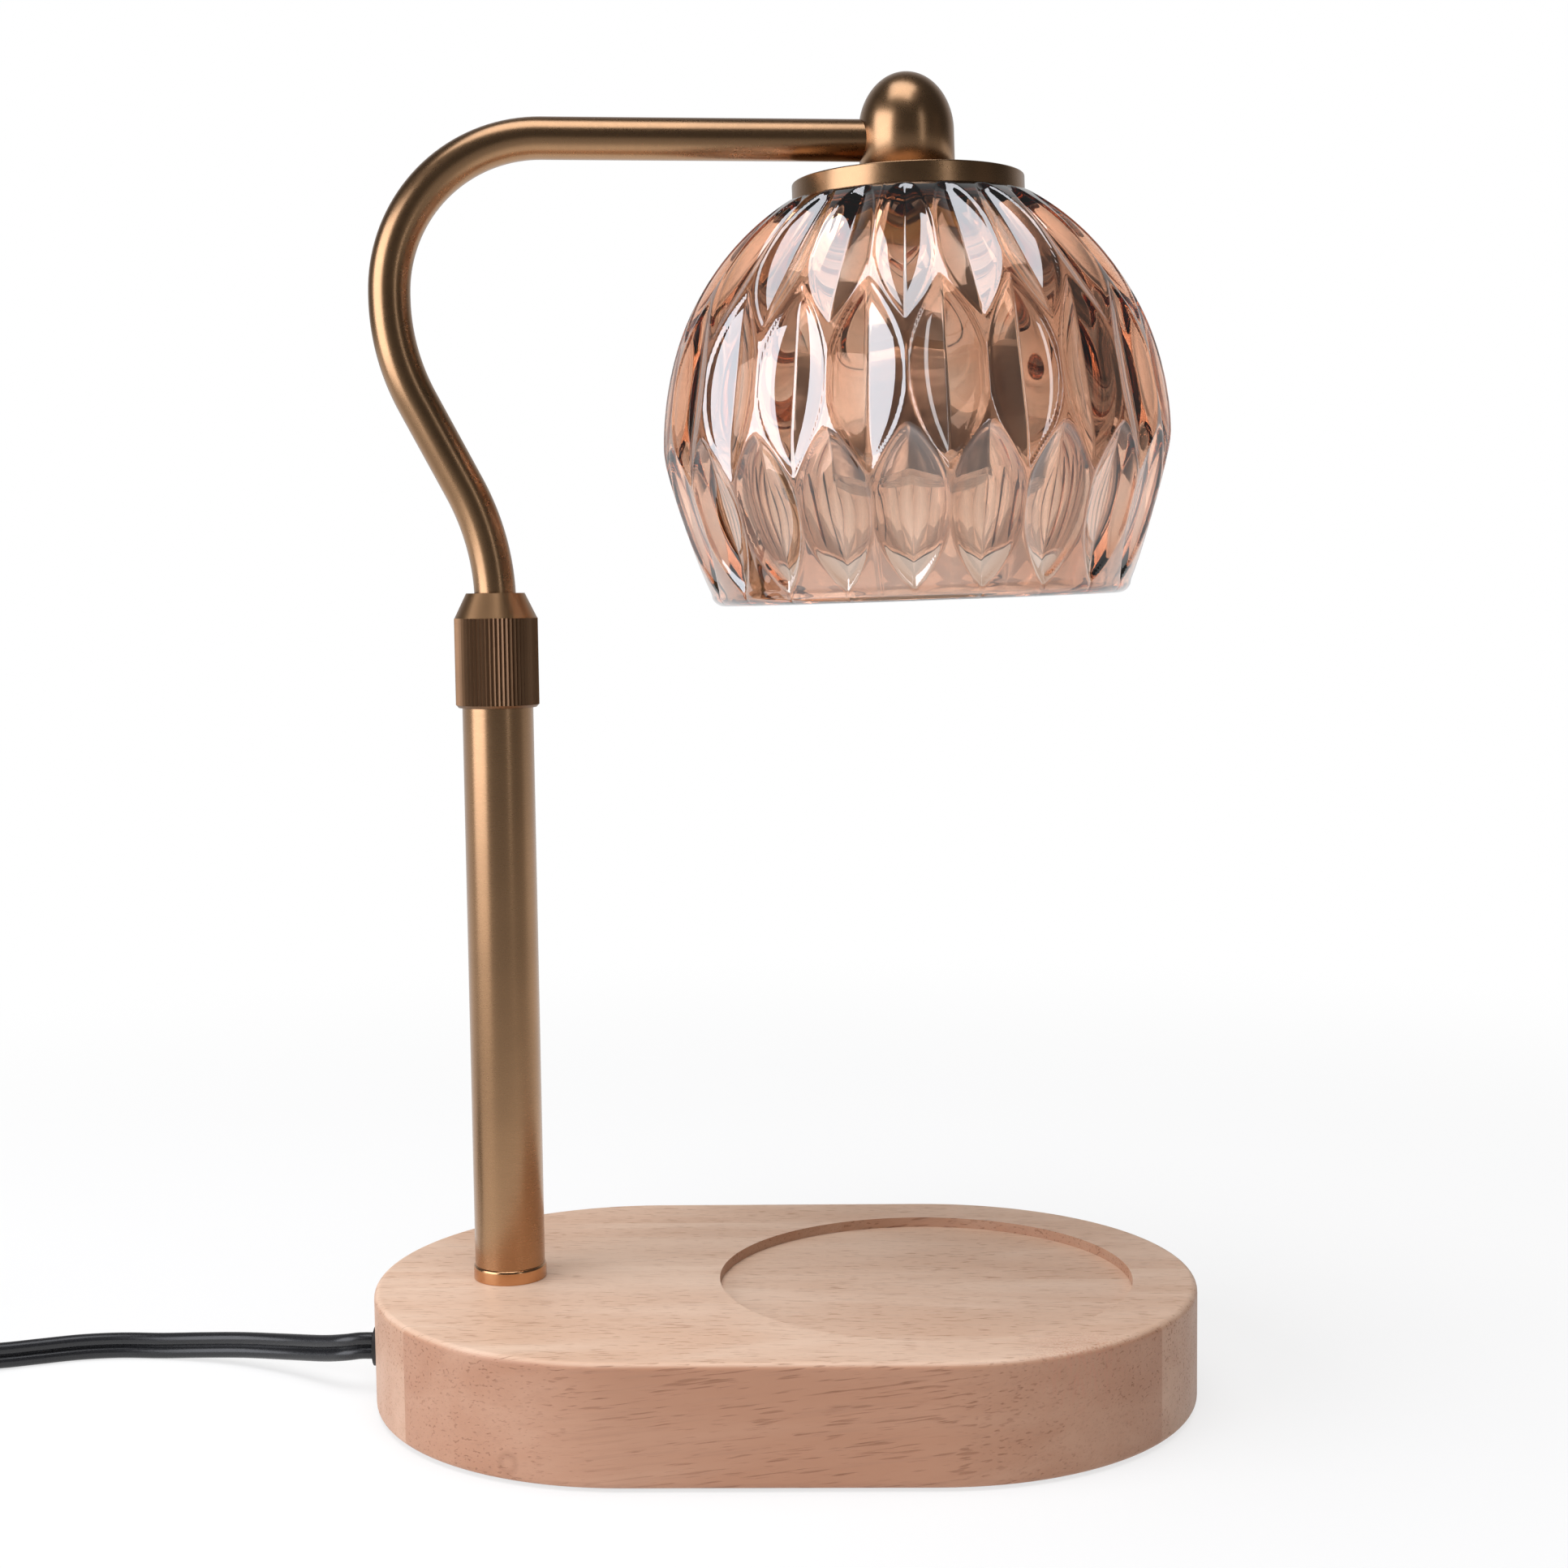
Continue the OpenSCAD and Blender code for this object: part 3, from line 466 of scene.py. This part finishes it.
def woodMaterial():
    # glued staves along X: each has its own grain, with long pores that show as dashes
    g = newGraph("paleWood")
    spot = g.place()
    depth = g.axes(spot)[1]
    stave = g.add("ShaderNodeMath", {"operation": "FLOOR"},
                  {0: (depth - wood["joint"]) / wood["stave"]})
    shift = g.add("ShaderNodeCombineXYZ", None,
                  {axis: stave * by for axis, by in zip("XYZ", wood["staveShift"])})
    here = g.add("ShaderNodeVectorMath", {"operation": "ADD"}, {0: spot, 1: shift})
    grain = g.stretch(here, (1, 1, 1), (0, radians(wood["tilt"]), radians(wood["skew"])))
    layer = {}
    for name, (along, across, detail, rough, distortion) in grainLayers.items():
        vector = g.stretch(grain, (along, across, across))
        layer[name] = g.noise(vector, 1, detail, rough, distortion)
    broad, lines = layer["broad"], layer["lines"]
    pores = layer["dash"].fade(*wood["dashFade"]) * broad.fade(*wood["dashRegion"])
    pores = pores + layer["fine"].fade(*wood["fineFade"]) * wood["finePores"]
    up = g.axes(g.add("ShaderNodeNewGeometry", out="Normal"))[2]
    side = 1 - up.fade(*wood["sideFade"])
    tone = g.mix(broad.fade(*wood["toneFade"]), wood["pale"], wood["warm"])
    tone = g.mix(layer["bands"].fade(*wood["bandFade"]) * wood["grainMix"], tone, wood["warm"])
    tone = g.mix(lines.fade(*wood["lineFade"]) * wood["grainMix"], tone, wood["line"])

    # the edge faces are darker, most of all on the front stave: painted shade where less light falls
    # on the sides, partly the side grain's own darker tone
    front = 1 - depth.fade(wood["joint"] - wood["jointBlend"], wood["joint"] + wood["jointBlend"])
    sideShadeAndGrainTone = g.mix(front, [c ** wood["otherStavesShadeEase"] for c in wood["sideShadeAndGrainTint"]], wood["sideShadeAndGrainTint"])
    tone = g.mix(side, tone, g.mix(1.0, tone, sideShadeAndGrainTone, "MULTIPLY"))
    tone = g.mix(pores * (wood["poreMix"] + side * wood["sidePores"]), tone, wood["pore"])

    # a small knot low on the edge and a torn patch on the rim
    away = g.distance(spot, wood["knot"])
    ring = (1 - away.fade(*wood["knotOutside"])) * away.fade(*wood["knotInside"])
    tone = g.mix(ring * wood["knotMix"], tone, wood["pore"])
    near = 1 - g.distance(spot, wood["roughSpot"]).fade(*wood["tornReach"])
    torn = g.noise(g.stretch(spot, wood["tornScale"])).fade(*wood["tornFade"])
    tone = g.mix(near * torn * wood["tornMix"], tone, wood["torn"])
    height = lines * wood["lineHeight"] - pores - ring
    roughness = wood["rough"] + pores * wood["poreRough"] - lines * wood["lineGloss"]
    return g.finish(Base_Color=tone, Roughness=roughness, Specular_IOR_Level=wood["shine"],
                    Normal=g.bump(height, wood["bump"], wood["bumpDepth"]))


dress(woodMaterial(), "wood_base")
print("wood finished")


# satin metals: fine brushing under a clear coat

metal = {"brass": (0.42, 0.236, 0.116), "bronze": (0.22, 0.122, 0.065), "ring": (0.60, 0.32, 0.15),
         "cloudScale": 35, "cloudFade": (0.3, 0.7), "toneSpread": 0.07,
         "streakFade": (0.3, 0.8), "streakTone": 0.8, "streakMix": 0.15,
         "glossSpread": 0.08, "coatRough": 0.22, "bump": 0.04, "bumpDepth": 0.00001,
         "coneBlend": 0.0002, "coneGloss": 0.1}


def satinMaterial(name, colour, rough, along=(300, 300, 2400), coneFrom=None, coat=0.5):
    # the streaks run round the post: along Z they change fast
    g = newGraph(name)
    streaks = g.noise(g.stretch(g.place(), along), detail=3, rough=0.7)
    cloud = g.noise(g.place(), metal["cloudScale"], detail=3, rough=0.55)
    spread = metal["toneSpread"]
    tone = g.mix(cloud.fade(*metal["cloudFade"]), toned(colour, 1 - spread),
                 toned(colour, 1 + spread))
    tone = g.mix(streaks.fade(*metal["streakFade"]) * metal["streakMix"], tone,
                 toned(colour, metal["streakTone"]))
    roughness = rough + (streaks - 0.5) * metal["glossSpread"]
    if coneFrom:
        # the turned cone above the knurl is smoother, and its colour is lifted to brass as a painted
        # highlight of the top light it catches
        blend = metal["coneBlend"]
        cone = g.axes(g.place())[2].fade(coneFrom - blend, coneFrom + blend)
        tone = g.mix(cone, tone, metal["brass"])
        roughness = roughness - cone * metal["coneGloss"]
    return g.finish(Base_Color=tone, Metallic=1.0, Roughness=roughness, Coat_Weight=coat,
                    Coat_Roughness=metal["coatRough"],
                    Normal=g.bump(streaks, metal["bump"], metal["bumpDepth"]))


brass = satinMaterial("antiqueBrass", metal["brass"], 0.28)
armBrass = satinMaterial("antiqueBrassArm", metal["brass"], 0.28, along=(500, 500, 500))
bronze = satinMaterial("darkBronze", metal["bronze"], 0.42, coneFrom=0.2092, coat=0.15)
copperRing = satinMaterial("footRingBrass", metal["ring"], 0.22)


# swan neck: millimetres and degrees, from the tube's lower end to the dome

arm = {"radius": 5.45, "low": 98.6, "bendFrom": 213, "bend": 27.5, "bendOut": 66, "bendBack": 58,
       "upright": 1, "bendOver": 40, "height": 333.6, "reach": 110.5, "inDome": 4,
       "swing": 7, "lean": 1.4, "step": 2, "bendSteps": 24, "overSteps": 36, "levelSteps": 30,
       "around": 64}
postPlace = Matrix.Translation((-0.0743, 0, 0))
armPlace = postPlace @ Matrix.Rotation(radians(arm["swing"]), 4, "Z")
headMove = Matrix.Translation(Vector((arm["reach"], 0, arm["height"])) * mm)
headPlace = armPlace @ headMove @ Matrix.Rotation(radians(-arm["lean"]), 4, "Y")


def arc(middle, radius, start, end, steps):
    angles = [start + (end - start) * k / steps for k in range(steps + 1)]
    return [Vector((middle[0] + radius * cos(a), middle[1] + radius * sin(a))) for a in angles]


def armLine():
    # the tube's middle in the plane of the arm, as reach and height: straight runs and bends in turn
    bend = radians(arm["bend"])
    out, back, over = arm["bendOut"], arm["bendBack"], arm["bendOver"]
    upright = arm["height"] - over - arm["upright"]
    lean = (upright - back * sin(bend) - arm["bendFrom"] - out * sin(bend)) / cos(bend)
    left = -(out + back) * (1 - cos(bend)) - lean * sin(bend)
    level = left + over
    straight = int((arm["bendFrom"] - arm["low"]) / arm["step"])
    line = [Vector((0, arm["low"] + k * arm["step"])) for k in range(straight)]
    line += arc((-out, arm["bendFrom"]), out, 0, bend, arm["bendSteps"])
    line += arc((left + back, upright), back, pi + bend, pi, arm["bendSteps"])
    line += arc((level, arm["height"] - over), over, pi, pi / 2, arm["overSteps"])
    gap = (arm["reach"] - arm["inDome"] - level) / arm["levelSteps"]
    line += [Vector((level + gap * (k + 1), arm["height"])) for k in range(arm["levelSteps"])]
    return line


def addArm():
    line = armLine()
    rings = []
    for i, spot in enumerate(line):
        ahead = directionAt(line, i)
        across = Vector((ahead.y, -ahead.x))
        ring = []
        for k in range(arm["around"]):
            a = 2 * pi * k / arm["around"]
            flat = spot + across * arm["radius"] * cos(a)
            ring.append(armPlace @ (Vector((flat.x, -arm["radius"] * sin(a), flat.y)) * mm))
        rings.append(ring)
    tube = addPiece("swanNeckTube", *skin(rings), "arm", "antique_brass", armBrass)
    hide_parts("arm_tube")


# turned parts: millimetres, heights from the arm's axis, or from the table for the foot ring

dome = {"radius": 12.6, "top": 17.8, "tall": 15.5, "low": -10.4, "tip": 0.02, "arcSteps": 40,
        "steps": 96,
        "edge": [(0, 1.5), (0.35, 1.3), (0.35, 0.9), (0, 0.7), (0, 0.25), (0.25, 0)]}
disc = {"radius": 30.75, "top": -10.4, "tall": 5.7, "sheet": 1.5, "hole": 5, "topEdge": 0.5,
        "lowEdge": 0.3, "insideEdge": 0.6, "steps": 160}
footRing = {"radius": 9.75, "low": 31.7, "tall": 3.9, "hole": 5, "lowEdge": 0.2, "topEdge": 0.9,
            "steps": 96}
ringNut = {"radius": 23.2, "top": -19.7, "tall": 5.5, "hole": 14.2, "flange": 1.5, "wall": 3,
           "topEdge": 0.5, "flangeEdge": 0.6, "lowEdge": 0.4, "insideEdge": 0.2, "steps": 96}


def addLathe(name, node, outline, steps, place, body, slotName, material):
    points, faces = lathe([p * mm for p in outline], steps, place)
    piece = addPiece(name, points, faces, body, slotName, material)
    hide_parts(node)


def addDome():
    # the edge is given as how far inwards and how far above the low end
    r, low, tall = dome["radius"], dome["low"], dome["tall"]
    outline = [Vector((dome["tip"], dome["top"]))]
    for k in range(dome["arcSteps"] - 1, -1, -1):
        a = pi / 2 * k / dome["arcSteps"]
        outline.append(Vector((r * cos(a), dome["top"] - tall + tall * sin(a))))
    outline += [Vector((r - inwards, low + above)) for inwards, above in dome["edge"]]
    outline.append(Vector((dome["tip"], low)))
    addLathe("domedCap", "dome_cap", outline, dome["steps"], headPlace, "arm", "antique_brass",
             armBrass)


def addDisc():
    r, top, low, hole = disc["radius"], disc["top"], disc["top"] - disc["tall"], disc["hole"]
    inside, under = r - disc["sheet"], top - disc["sheet"]
    outline = roundCorners([(hole, top, 0), (r, top, disc["topEdge"]), (r, low, disc["lowEdge"]),
                            (inside, low, disc["lowEdge"]), (inside, under, disc["insideEdge"]),
                            (hole, under, 0)])
    addLathe("shadeDisc", "shade_disc", outline, disc["steps"], headPlace, "arm", "antique_brass",
             armBrass)


def addFootRing():
    r, low, hole = footRing["radius"], footRing["low"], footRing["hole"]
    top = low + footRing["tall"]
    outline = roundCorners([(hole, low, 0), (r, low, footRing["lowEdge"]),
                            (r, top, footRing["topEdge"]), (hole, top, 0)])
    addLathe("footRing", "foot_ring", outline, footRing["steps"], postPlace, "stand",
             "antique_brass", copperRing)


def addRingNut():
    r, top, hole = ringNut["radius"], ringNut["top"], ringNut["hole"]
    low = top - ringNut["tall"]
    outline = roundCorners([(hole, top, 0), (r, top, ringNut["topEdge"]),
                            (r, top - ringNut["flange"], ringNut["flangeEdge"]),
                            (hole + ringNut["wall"], low, ringNut["lowEdge"]),
                            (hole, low, ringNut["insideEdge"])])
    addLathe("ringNut", "clamp_ring", outline, ringNut["steps"], headPlace, "arm", "plain_brass",
             bareBrass)


addArm()
addDome()
addDisc()
addFootRing()
addRingNut()
dress(brass, "post_tube")
dress(bronze, "lock_collar", "switch_wheel")
print("metal parts made")


# glass shade: millimetres below the arm's axis, angles in degrees

glass = {"radius": 67.3, "waist": 79.1, "crown": 72.5, "crownLeast": 0.16, "flank": 1.46,
         "top": 16.1, "bottom": 120.8, "mouth": 54.5, "wall": 4.1, "hole": 15,
         "topRings": (22, 28), "underRings": (24, 19), "lip": 3.4, "lipFrom": -10, "lipTurn": 80,
         "lipSteps": 6, "lipBevel": 0.6, "rows": 150, "fadeRows": 4, "insideEvery": 3,
         "perMillimetre": 10, "slopeStep": 0.2,
         "leaves": 21, "columns": 36, "firstLeaf": -1.9, "cut": 2.7, "bowl": 2.3, "scoop": 1.45,
         "land": 0.06, "edge": 0.4, "edgeWidth": 0.09, "seams": (-19.0, 161.0), "seamRise": 0.16,
         "tone": (0.88, 0.74, 0.64), "toneSpread": 0.05, "cloudScale": 60,
         "cloudFade": (0.3, 0.7), "rough": 0.012, "index": 1.54, "coatIndex": 2.3,
         "coatRough": 0.015,
         "amber": (0.68, 0.35, 0.13), "density": 145}
# rows of leaves: upper and lower tip, half width as a share of the pitch, how pointed the upper and
# the lower end are, whether they stand between those of the middle row, and how much each is a
# round bowl without a crease
leafRows = [(16.6, 52.6, 0.475, 0.42, 1.0, True, 0.0),
            (43.0, 89.4, 0.48, 1.0, 0.95, False, 0.0),
            (79.1, 117.3, 0.485, 0.8, 0.9, True, 1.0)]


def shadeRadius(drop):
    # radius of the outside at a depth below the arm's axis
    if drop < glass["waist"]:
        u = (glass["waist"] - drop) / glass["crown"]
        return glass["radius"] * sqrt(max(0, 1 - u * u))
    power = glass["flank"]
    share = (glass["mouth"] / glass["radius"]) ** power
    tall = (glass["bottom"] - glass["waist"]) / (1 - share) ** (1 / power)
    return glass["radius"] * (1 - ((drop - glass["waist"]) / tall) ** power) ** (1 / power)


def innerRadius(drop):
    if drop < glass["waist"]:
        u = (glass["waist"] - drop) / (glass["crown"] - glass["wall"])
        return (glass["radius"] - glass["wall"]) * sqrt(max(glass["crownLeast"], 1 - u * u))
    return shadeRadius(drop) - glass["wall"]


# length along the outside down to each depth, so that leaves keep their shape on the crown
fineStep = 1 / glass["perMillimetre"]
fineSteps = round((glass["bottom"] - glass["top"]) * glass["perMillimetre"])
depths = [glass["top"] + fineStep * k for k in range(fineSteps + 1)]
lengths = [0.0]
for above, below in zip(depths, depths[1:]):
    growth = shadeRadius(below) - shadeRadius(above)
    lengths.append(lengths[-1] + sqrt(fineStep ** 2 + growth ** 2))


def lengthAt(drop):
    k = (drop - glass["top"]) * glass["perMillimetre"]
    k = min(max(k, 0), len(depths) - 1.001)     # always short of the last depth
    return lengths[int(k)] + (lengths[int(k) + 1] - lengths[int(k)]) * (k - int(k))


def leafShare(angle, drop):
    # 1 in the middle of a leaf, 0 on its outline, below 0 on the land between, with its bowl share
    pitch = 2 * pi / glass["leaves"]
    here = lengthAt(drop)
    best = (-1.0, 0.0)
    for high, low, wide, upper, lower, between, bowl in leafRows:
        start, end = lengthAt(high), lengthAt(low)
        v = (here - (start + end) / 2) / ((end - start) / 2)
        power = upper if v < 0 else lower
        across = (1 - v * v) ** power if abs(v) < 1 else 1 - v * v
        first = radians(glass["firstLeaf"]) + (pitch / 2 if between else 0)
        u = abs((angle - first + pitch / 2) % pitch - pitch / 2) / (wide * pitch)
        best = max(best, (across - u, bowl))
    return best


def cutDepth(share, bowl):
    # two scooped sides that meet in a crease, or a round bowl, with a rounded land outside the leaf
    soft = (share + sqrt(share * share + glass["land"] ** 2)) / 2
    step = min(max(share / glass["edgeWidth"] + 0.5, 0), 1)
    crease = glass["cut"] * soft ** glass["scoop"]
    hollow = glass["bowl"] * (1 - (1 - min(soft, 1)) ** 2)
    return crease * (1 - bowl) + hollow * bowl + glass["edge"] * step * step * (3 - 2 * step)


def seamRise(angle):
    nearest = min(abs((angle - radians(s) + pi) % (2 * pi) - pi) for s in glass["seams"])
    return glass["seamRise"] if nearest < pi / glass["leaves"] / glass["columns"] else 0


def shadeRing(angle, drops):
    # one section through the wall, from the hole over the outside, round the lip and back inside
    top, low, lip, wall = glass["top"], glass["bottom"], glass["lip"], glass["wall"]
    ring = [(glass["hole"], -top)]
    ring += [(r, -top) for r in glass["topRings"]]
    for i, drop in enumerate(drops):
        step = glass["slopeStep"]
        slope = (shadeRadius(drop + step) - shadeRadius(drop - step)) / (2 * step)
        size = sqrt(1 + slope * slope)
        depth = cutDepth(*leafShare(angle, drop)) * min(1, i / glass["fadeRows"])
        depth -= seamRise(angle)
        ring.append((shadeRadius(drop) - depth / size, -drop - depth * slope / size))
    outer = ring[-1][0]
    for k in range(1, glass["lipSteps"] + 1):
        a = radians(glass["lipFrom"] - glass["lipTurn"] * k / glass["lipSteps"])
        ring.append((outer - lip + lip * cos(a), -low + lip + lip * sin(a)))
    inside = [d for d in drops[::glass["insideEvery"]] if d > top + wall]
    inner = shadeRadius(inside[-1]) - wall
    ring += [(inner + glass["lipBevel"], -low), (inner, -low + glass["lipBevel"])]
    ring += [(innerRadius(drop), -drop) for drop in reversed(inside)]
    ring += [(r, -top - wall) for r in (*glass["underRings"], glass["hole"])]
    return ring


def rowDepths():
    # depths at equal lengths along the outside, down to the lip
    total = lengthAt(glass["bottom"] - glass["lip"])
    drops = []
    k = 0
    for i in range(glass["rows"] + 1):
        while k < len(lengths) - 1 and lengths[k] < total * i / glass["rows"]:
            k += 1
        drops.append(depths[k])
    return drops


def addShade():
    columns = glass["leaves"] * glass["columns"]
    drops = rowDepths()
    rings = []
    for j in range(columns):
        angle = radians(glass["firstLeaf"]) + 2 * pi * j / columns
        rings.append([headPlace @ (Vector((r * sin(angle), -r * cos(angle), z)) * mm)
                      for r, z in shadeRing(angle, drops)])
    shade = addPiece("cutGlassShade", *skin(rings, closedLoop=True), "arm", "amber_glass",
                     glassMaterial())
    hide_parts("glass_shade")


def glassMaterial():
    # amber through the thickness of the wall, with a thin bright lustre on its faces
    g = newGraph("amberGlass")
    cloud = g.noise(g.place(), glass["cloudScale"])
    tone = g.mix(cloud.fade(*glass["cloudFade"]), glass["tone"],
                 toned(glass["tone"], 1 + glass["toneSpread"]))
    shader = g.add("ShaderNodeBsdfPrincipled", None,
                   {"Base Color": tone, "Roughness": glass["rough"], "IOR": glass["index"],
                    "Transmission Weight": 1.0, "Coat Weight": 1.0,
                    "Coat IOR": glass["coatIndex"], "Coat Roughness": glass["coatRough"]})
    amber = g.add("ShaderNodeVolumeAbsorption", None,
                  {"Color": glass["amber"], "Density": glass["density"]})
    g.add("ShaderNodeOutputMaterial", None, {"Surface": shader, "Volume": amber})
    return g.owner


# bulb: clear lens, bright reflecting coat with small facets, frosted capsule

bulb = {"lens": (0.95, 0.95, 0.95), "lensRough": 0.03, "index": 1.5, "waves": 250,
        "waveBump": 0.4, "waveDepth": 0.0004,
        "coat": (0.86, 0.82, 0.77), "coatRough": 0.34, "facets": 300, "facetBump": 0.5,
        "facetDepth": 0.0006, "capsule": (0.9, 0.88, 0.84), "capsuleRough": 0.5}


def clearGlassMaterial():
    g = newGraph("bulbGlass")
    wave = g.noise(g.place(), bulb["waves"])
    return g.finish(Base_Color=bulb["lens"], Roughness=bulb["lensRough"], IOR=bulb["index"],
                    Transmission_Weight=1.0,
                    Normal=g.bump(wave, bulb["waveBump"], bulb["waveDepth"]))


def reflectorMaterial():
    g = newGraph("reflectorCoat")
    facet = g.add("ShaderNodeTexVoronoi", {"feature": "SMOOTH_F1"},
                  {"Vector": g.place(), "Scale": bulb["facets"]}, out="Distance")
    return g.finish(Base_Color=bulb["coat"], Metallic=1.0, Roughness=bulb["coatRough"],
                    Normal=g.bump(facet, bulb["facetBump"], bulb["facetDepth"]))


addShade()
dress(clearGlassMaterial(), "bulb_lens")
dress(reflectorMaterial(), "bulb_reflector")
dress(plainFinish("frostedCapsule", bulb["capsule"], bulb["capsuleRough"]), "bulb_capsule")
print("glass shade and bulb made")


# floor, backdrop and lights: metres, fades as from, to and the values there

studio = {"fill": 0.08, "floor": (0.86, 0.86, 0.86), "floorRough": 0.9, "floorHalf": 6,
          "speckScale": 40, "speckTone": 0.99,
          "floorRoom": (-0.25, 0.4, (0.26, 0.9)), "floorNear": (0.15, 0.5, (1, 0)),
          "floorSeen": (0.18, 0.75, (0.72, 1)), "floorMirrored": 0.8,
          "room": (0.3, 0.95, (0.065, 0.5)), "roomThrough": (0.5, 0.97, (0.065, 1.15)),
          "aim": (0.0, 0.0, 0.2)}
# name, place, size across and up, strength as brightness, colour, whether metal and glass show it
lamps = [("leftSoftbox", (-1.08, -0.62, 0.45), (1.1, 1.1), 3.6, (0.91, 0.93, 1.0), True),
         ("topSoftbox", (-0.1, -0.1, 1.35), (1.3, 0.9), 4.15, (1.0, 0.99, 0.98), False),
         ("topGlint", (-0.12, -0.3, 1.35), (0.9, 0.7), 2.7, (0.92, 0.94, 1.0), True),
         ("rightFill", (1.15, -0.25, 0.35), (0.4, 0.9), 0.04, (1.0, 0.78, 0.62), True),
         ("rightStrip", (0.75, -0.95, 0.5), (0.1, 0.9), 2.0, (0.95, 0.97, 1.0), True)]


def floorMaterial():
    # white to the eye and behind the lamp, and near the lamp paper that shows its shadow
    g = newGraph("paleFloor")
    spot = g.place()
    eye, shiny, through = g.rays()
    away = g.add("ShaderNodeVectorMath", {"operation": "LENGTH"}, {0: spot}, out="Value")
    speck = g.noise(spot, studio["speckScale"])
    tone = g.mix(speck, toned(studio["floor"], studio["speckTone"]), studio["floor"])
    paper = g.add("ShaderNodeBsdfPrincipled", None,
                  {"Base Color": tone, "Roughness": studio["floorRough"]})
    room = g.axes(spot)[1].fade(*studio["floorRoom"])
    room = room + away.fade(*studio["floorNear"]) * (1 - room)
    level = g.mix(eye, room, (1, 1, 1))
    glow = g.add("ShaderNodeEmission", None, {"Color": level, "Strength": 1.0})
    seen = eye * away.fade(*studio["floorSeen"]) + (shiny + through) * studio["floorMirrored"]
    both = g.add("ShaderNodeMixShader", None, {0: seen, 1: paper, 2: glow})
    g.add("ShaderNodeOutputMaterial", None, {"Surface": both})
    return g.owner


def addFloor():
    half = studio["floorHalf"]
    corners = [(-half, -half, 0), (half, -half, 0), (half, half, 0), (-half, half, 0)]
    mesh = bpy.data.meshes.new("floor")
    mesh.from_pydata(corners, [], [(0, 1, 2, 3)])
    mesh.materials.append(floorMaterial())
    floor = bpy.data.objects.new("floor", mesh)
    bpy.context.scene.collection.objects.link(floor)


def addLamps():
    for name, place, size, strength, colour, mirrored in lamps:
        data = bpy.data.lights.new(name, "AREA")
        data.shape = "RECTANGLE"
        data.size, data.size_y = size
        data.energy = strength * pi * size[0] * size[1]
        data.color = colour
        lamp = bpy.data.objects.new(name, data)
        bpy.context.scene.collection.objects.link(lamp)
        lamp.location = place
        lamp.visible_glossy = mirrored
        aim = Vector(studio["aim"]) - Vector(place)
        lamp.rotation_euler = aim.to_track_quat("-Z", "Y").to_euler()


def addWorld():
    # white to the eye, white behind the lamp and a dim room in front for metal and glass, even fill
    world = bpy.data.worlds.new("studio")
    bpy.context.scene.world = world
    g = Graph(world)
    eye, shiny, through = g.rays()
    depth = g.axes(g.add("ShaderNodeTexCoord", out="Generated"))[1]
    level = eye + shiny * depth.fade(*studio["room"]) + through * depth.fade(*studio["roomThrough"])
    level = level + (1 - eye - shiny - through) * studio["fill"]
    glow = g.add("ShaderNodeBackground", None, {"Color": (1, 1, 1), "Strength": level})
    g.add("ShaderNodeOutputWorld", None, {"Surface": glow})


addFloor()
addLamps()
addWorld()
bpy.context.scene.view_settings.view_transform = "Standard"
print("stage lit")
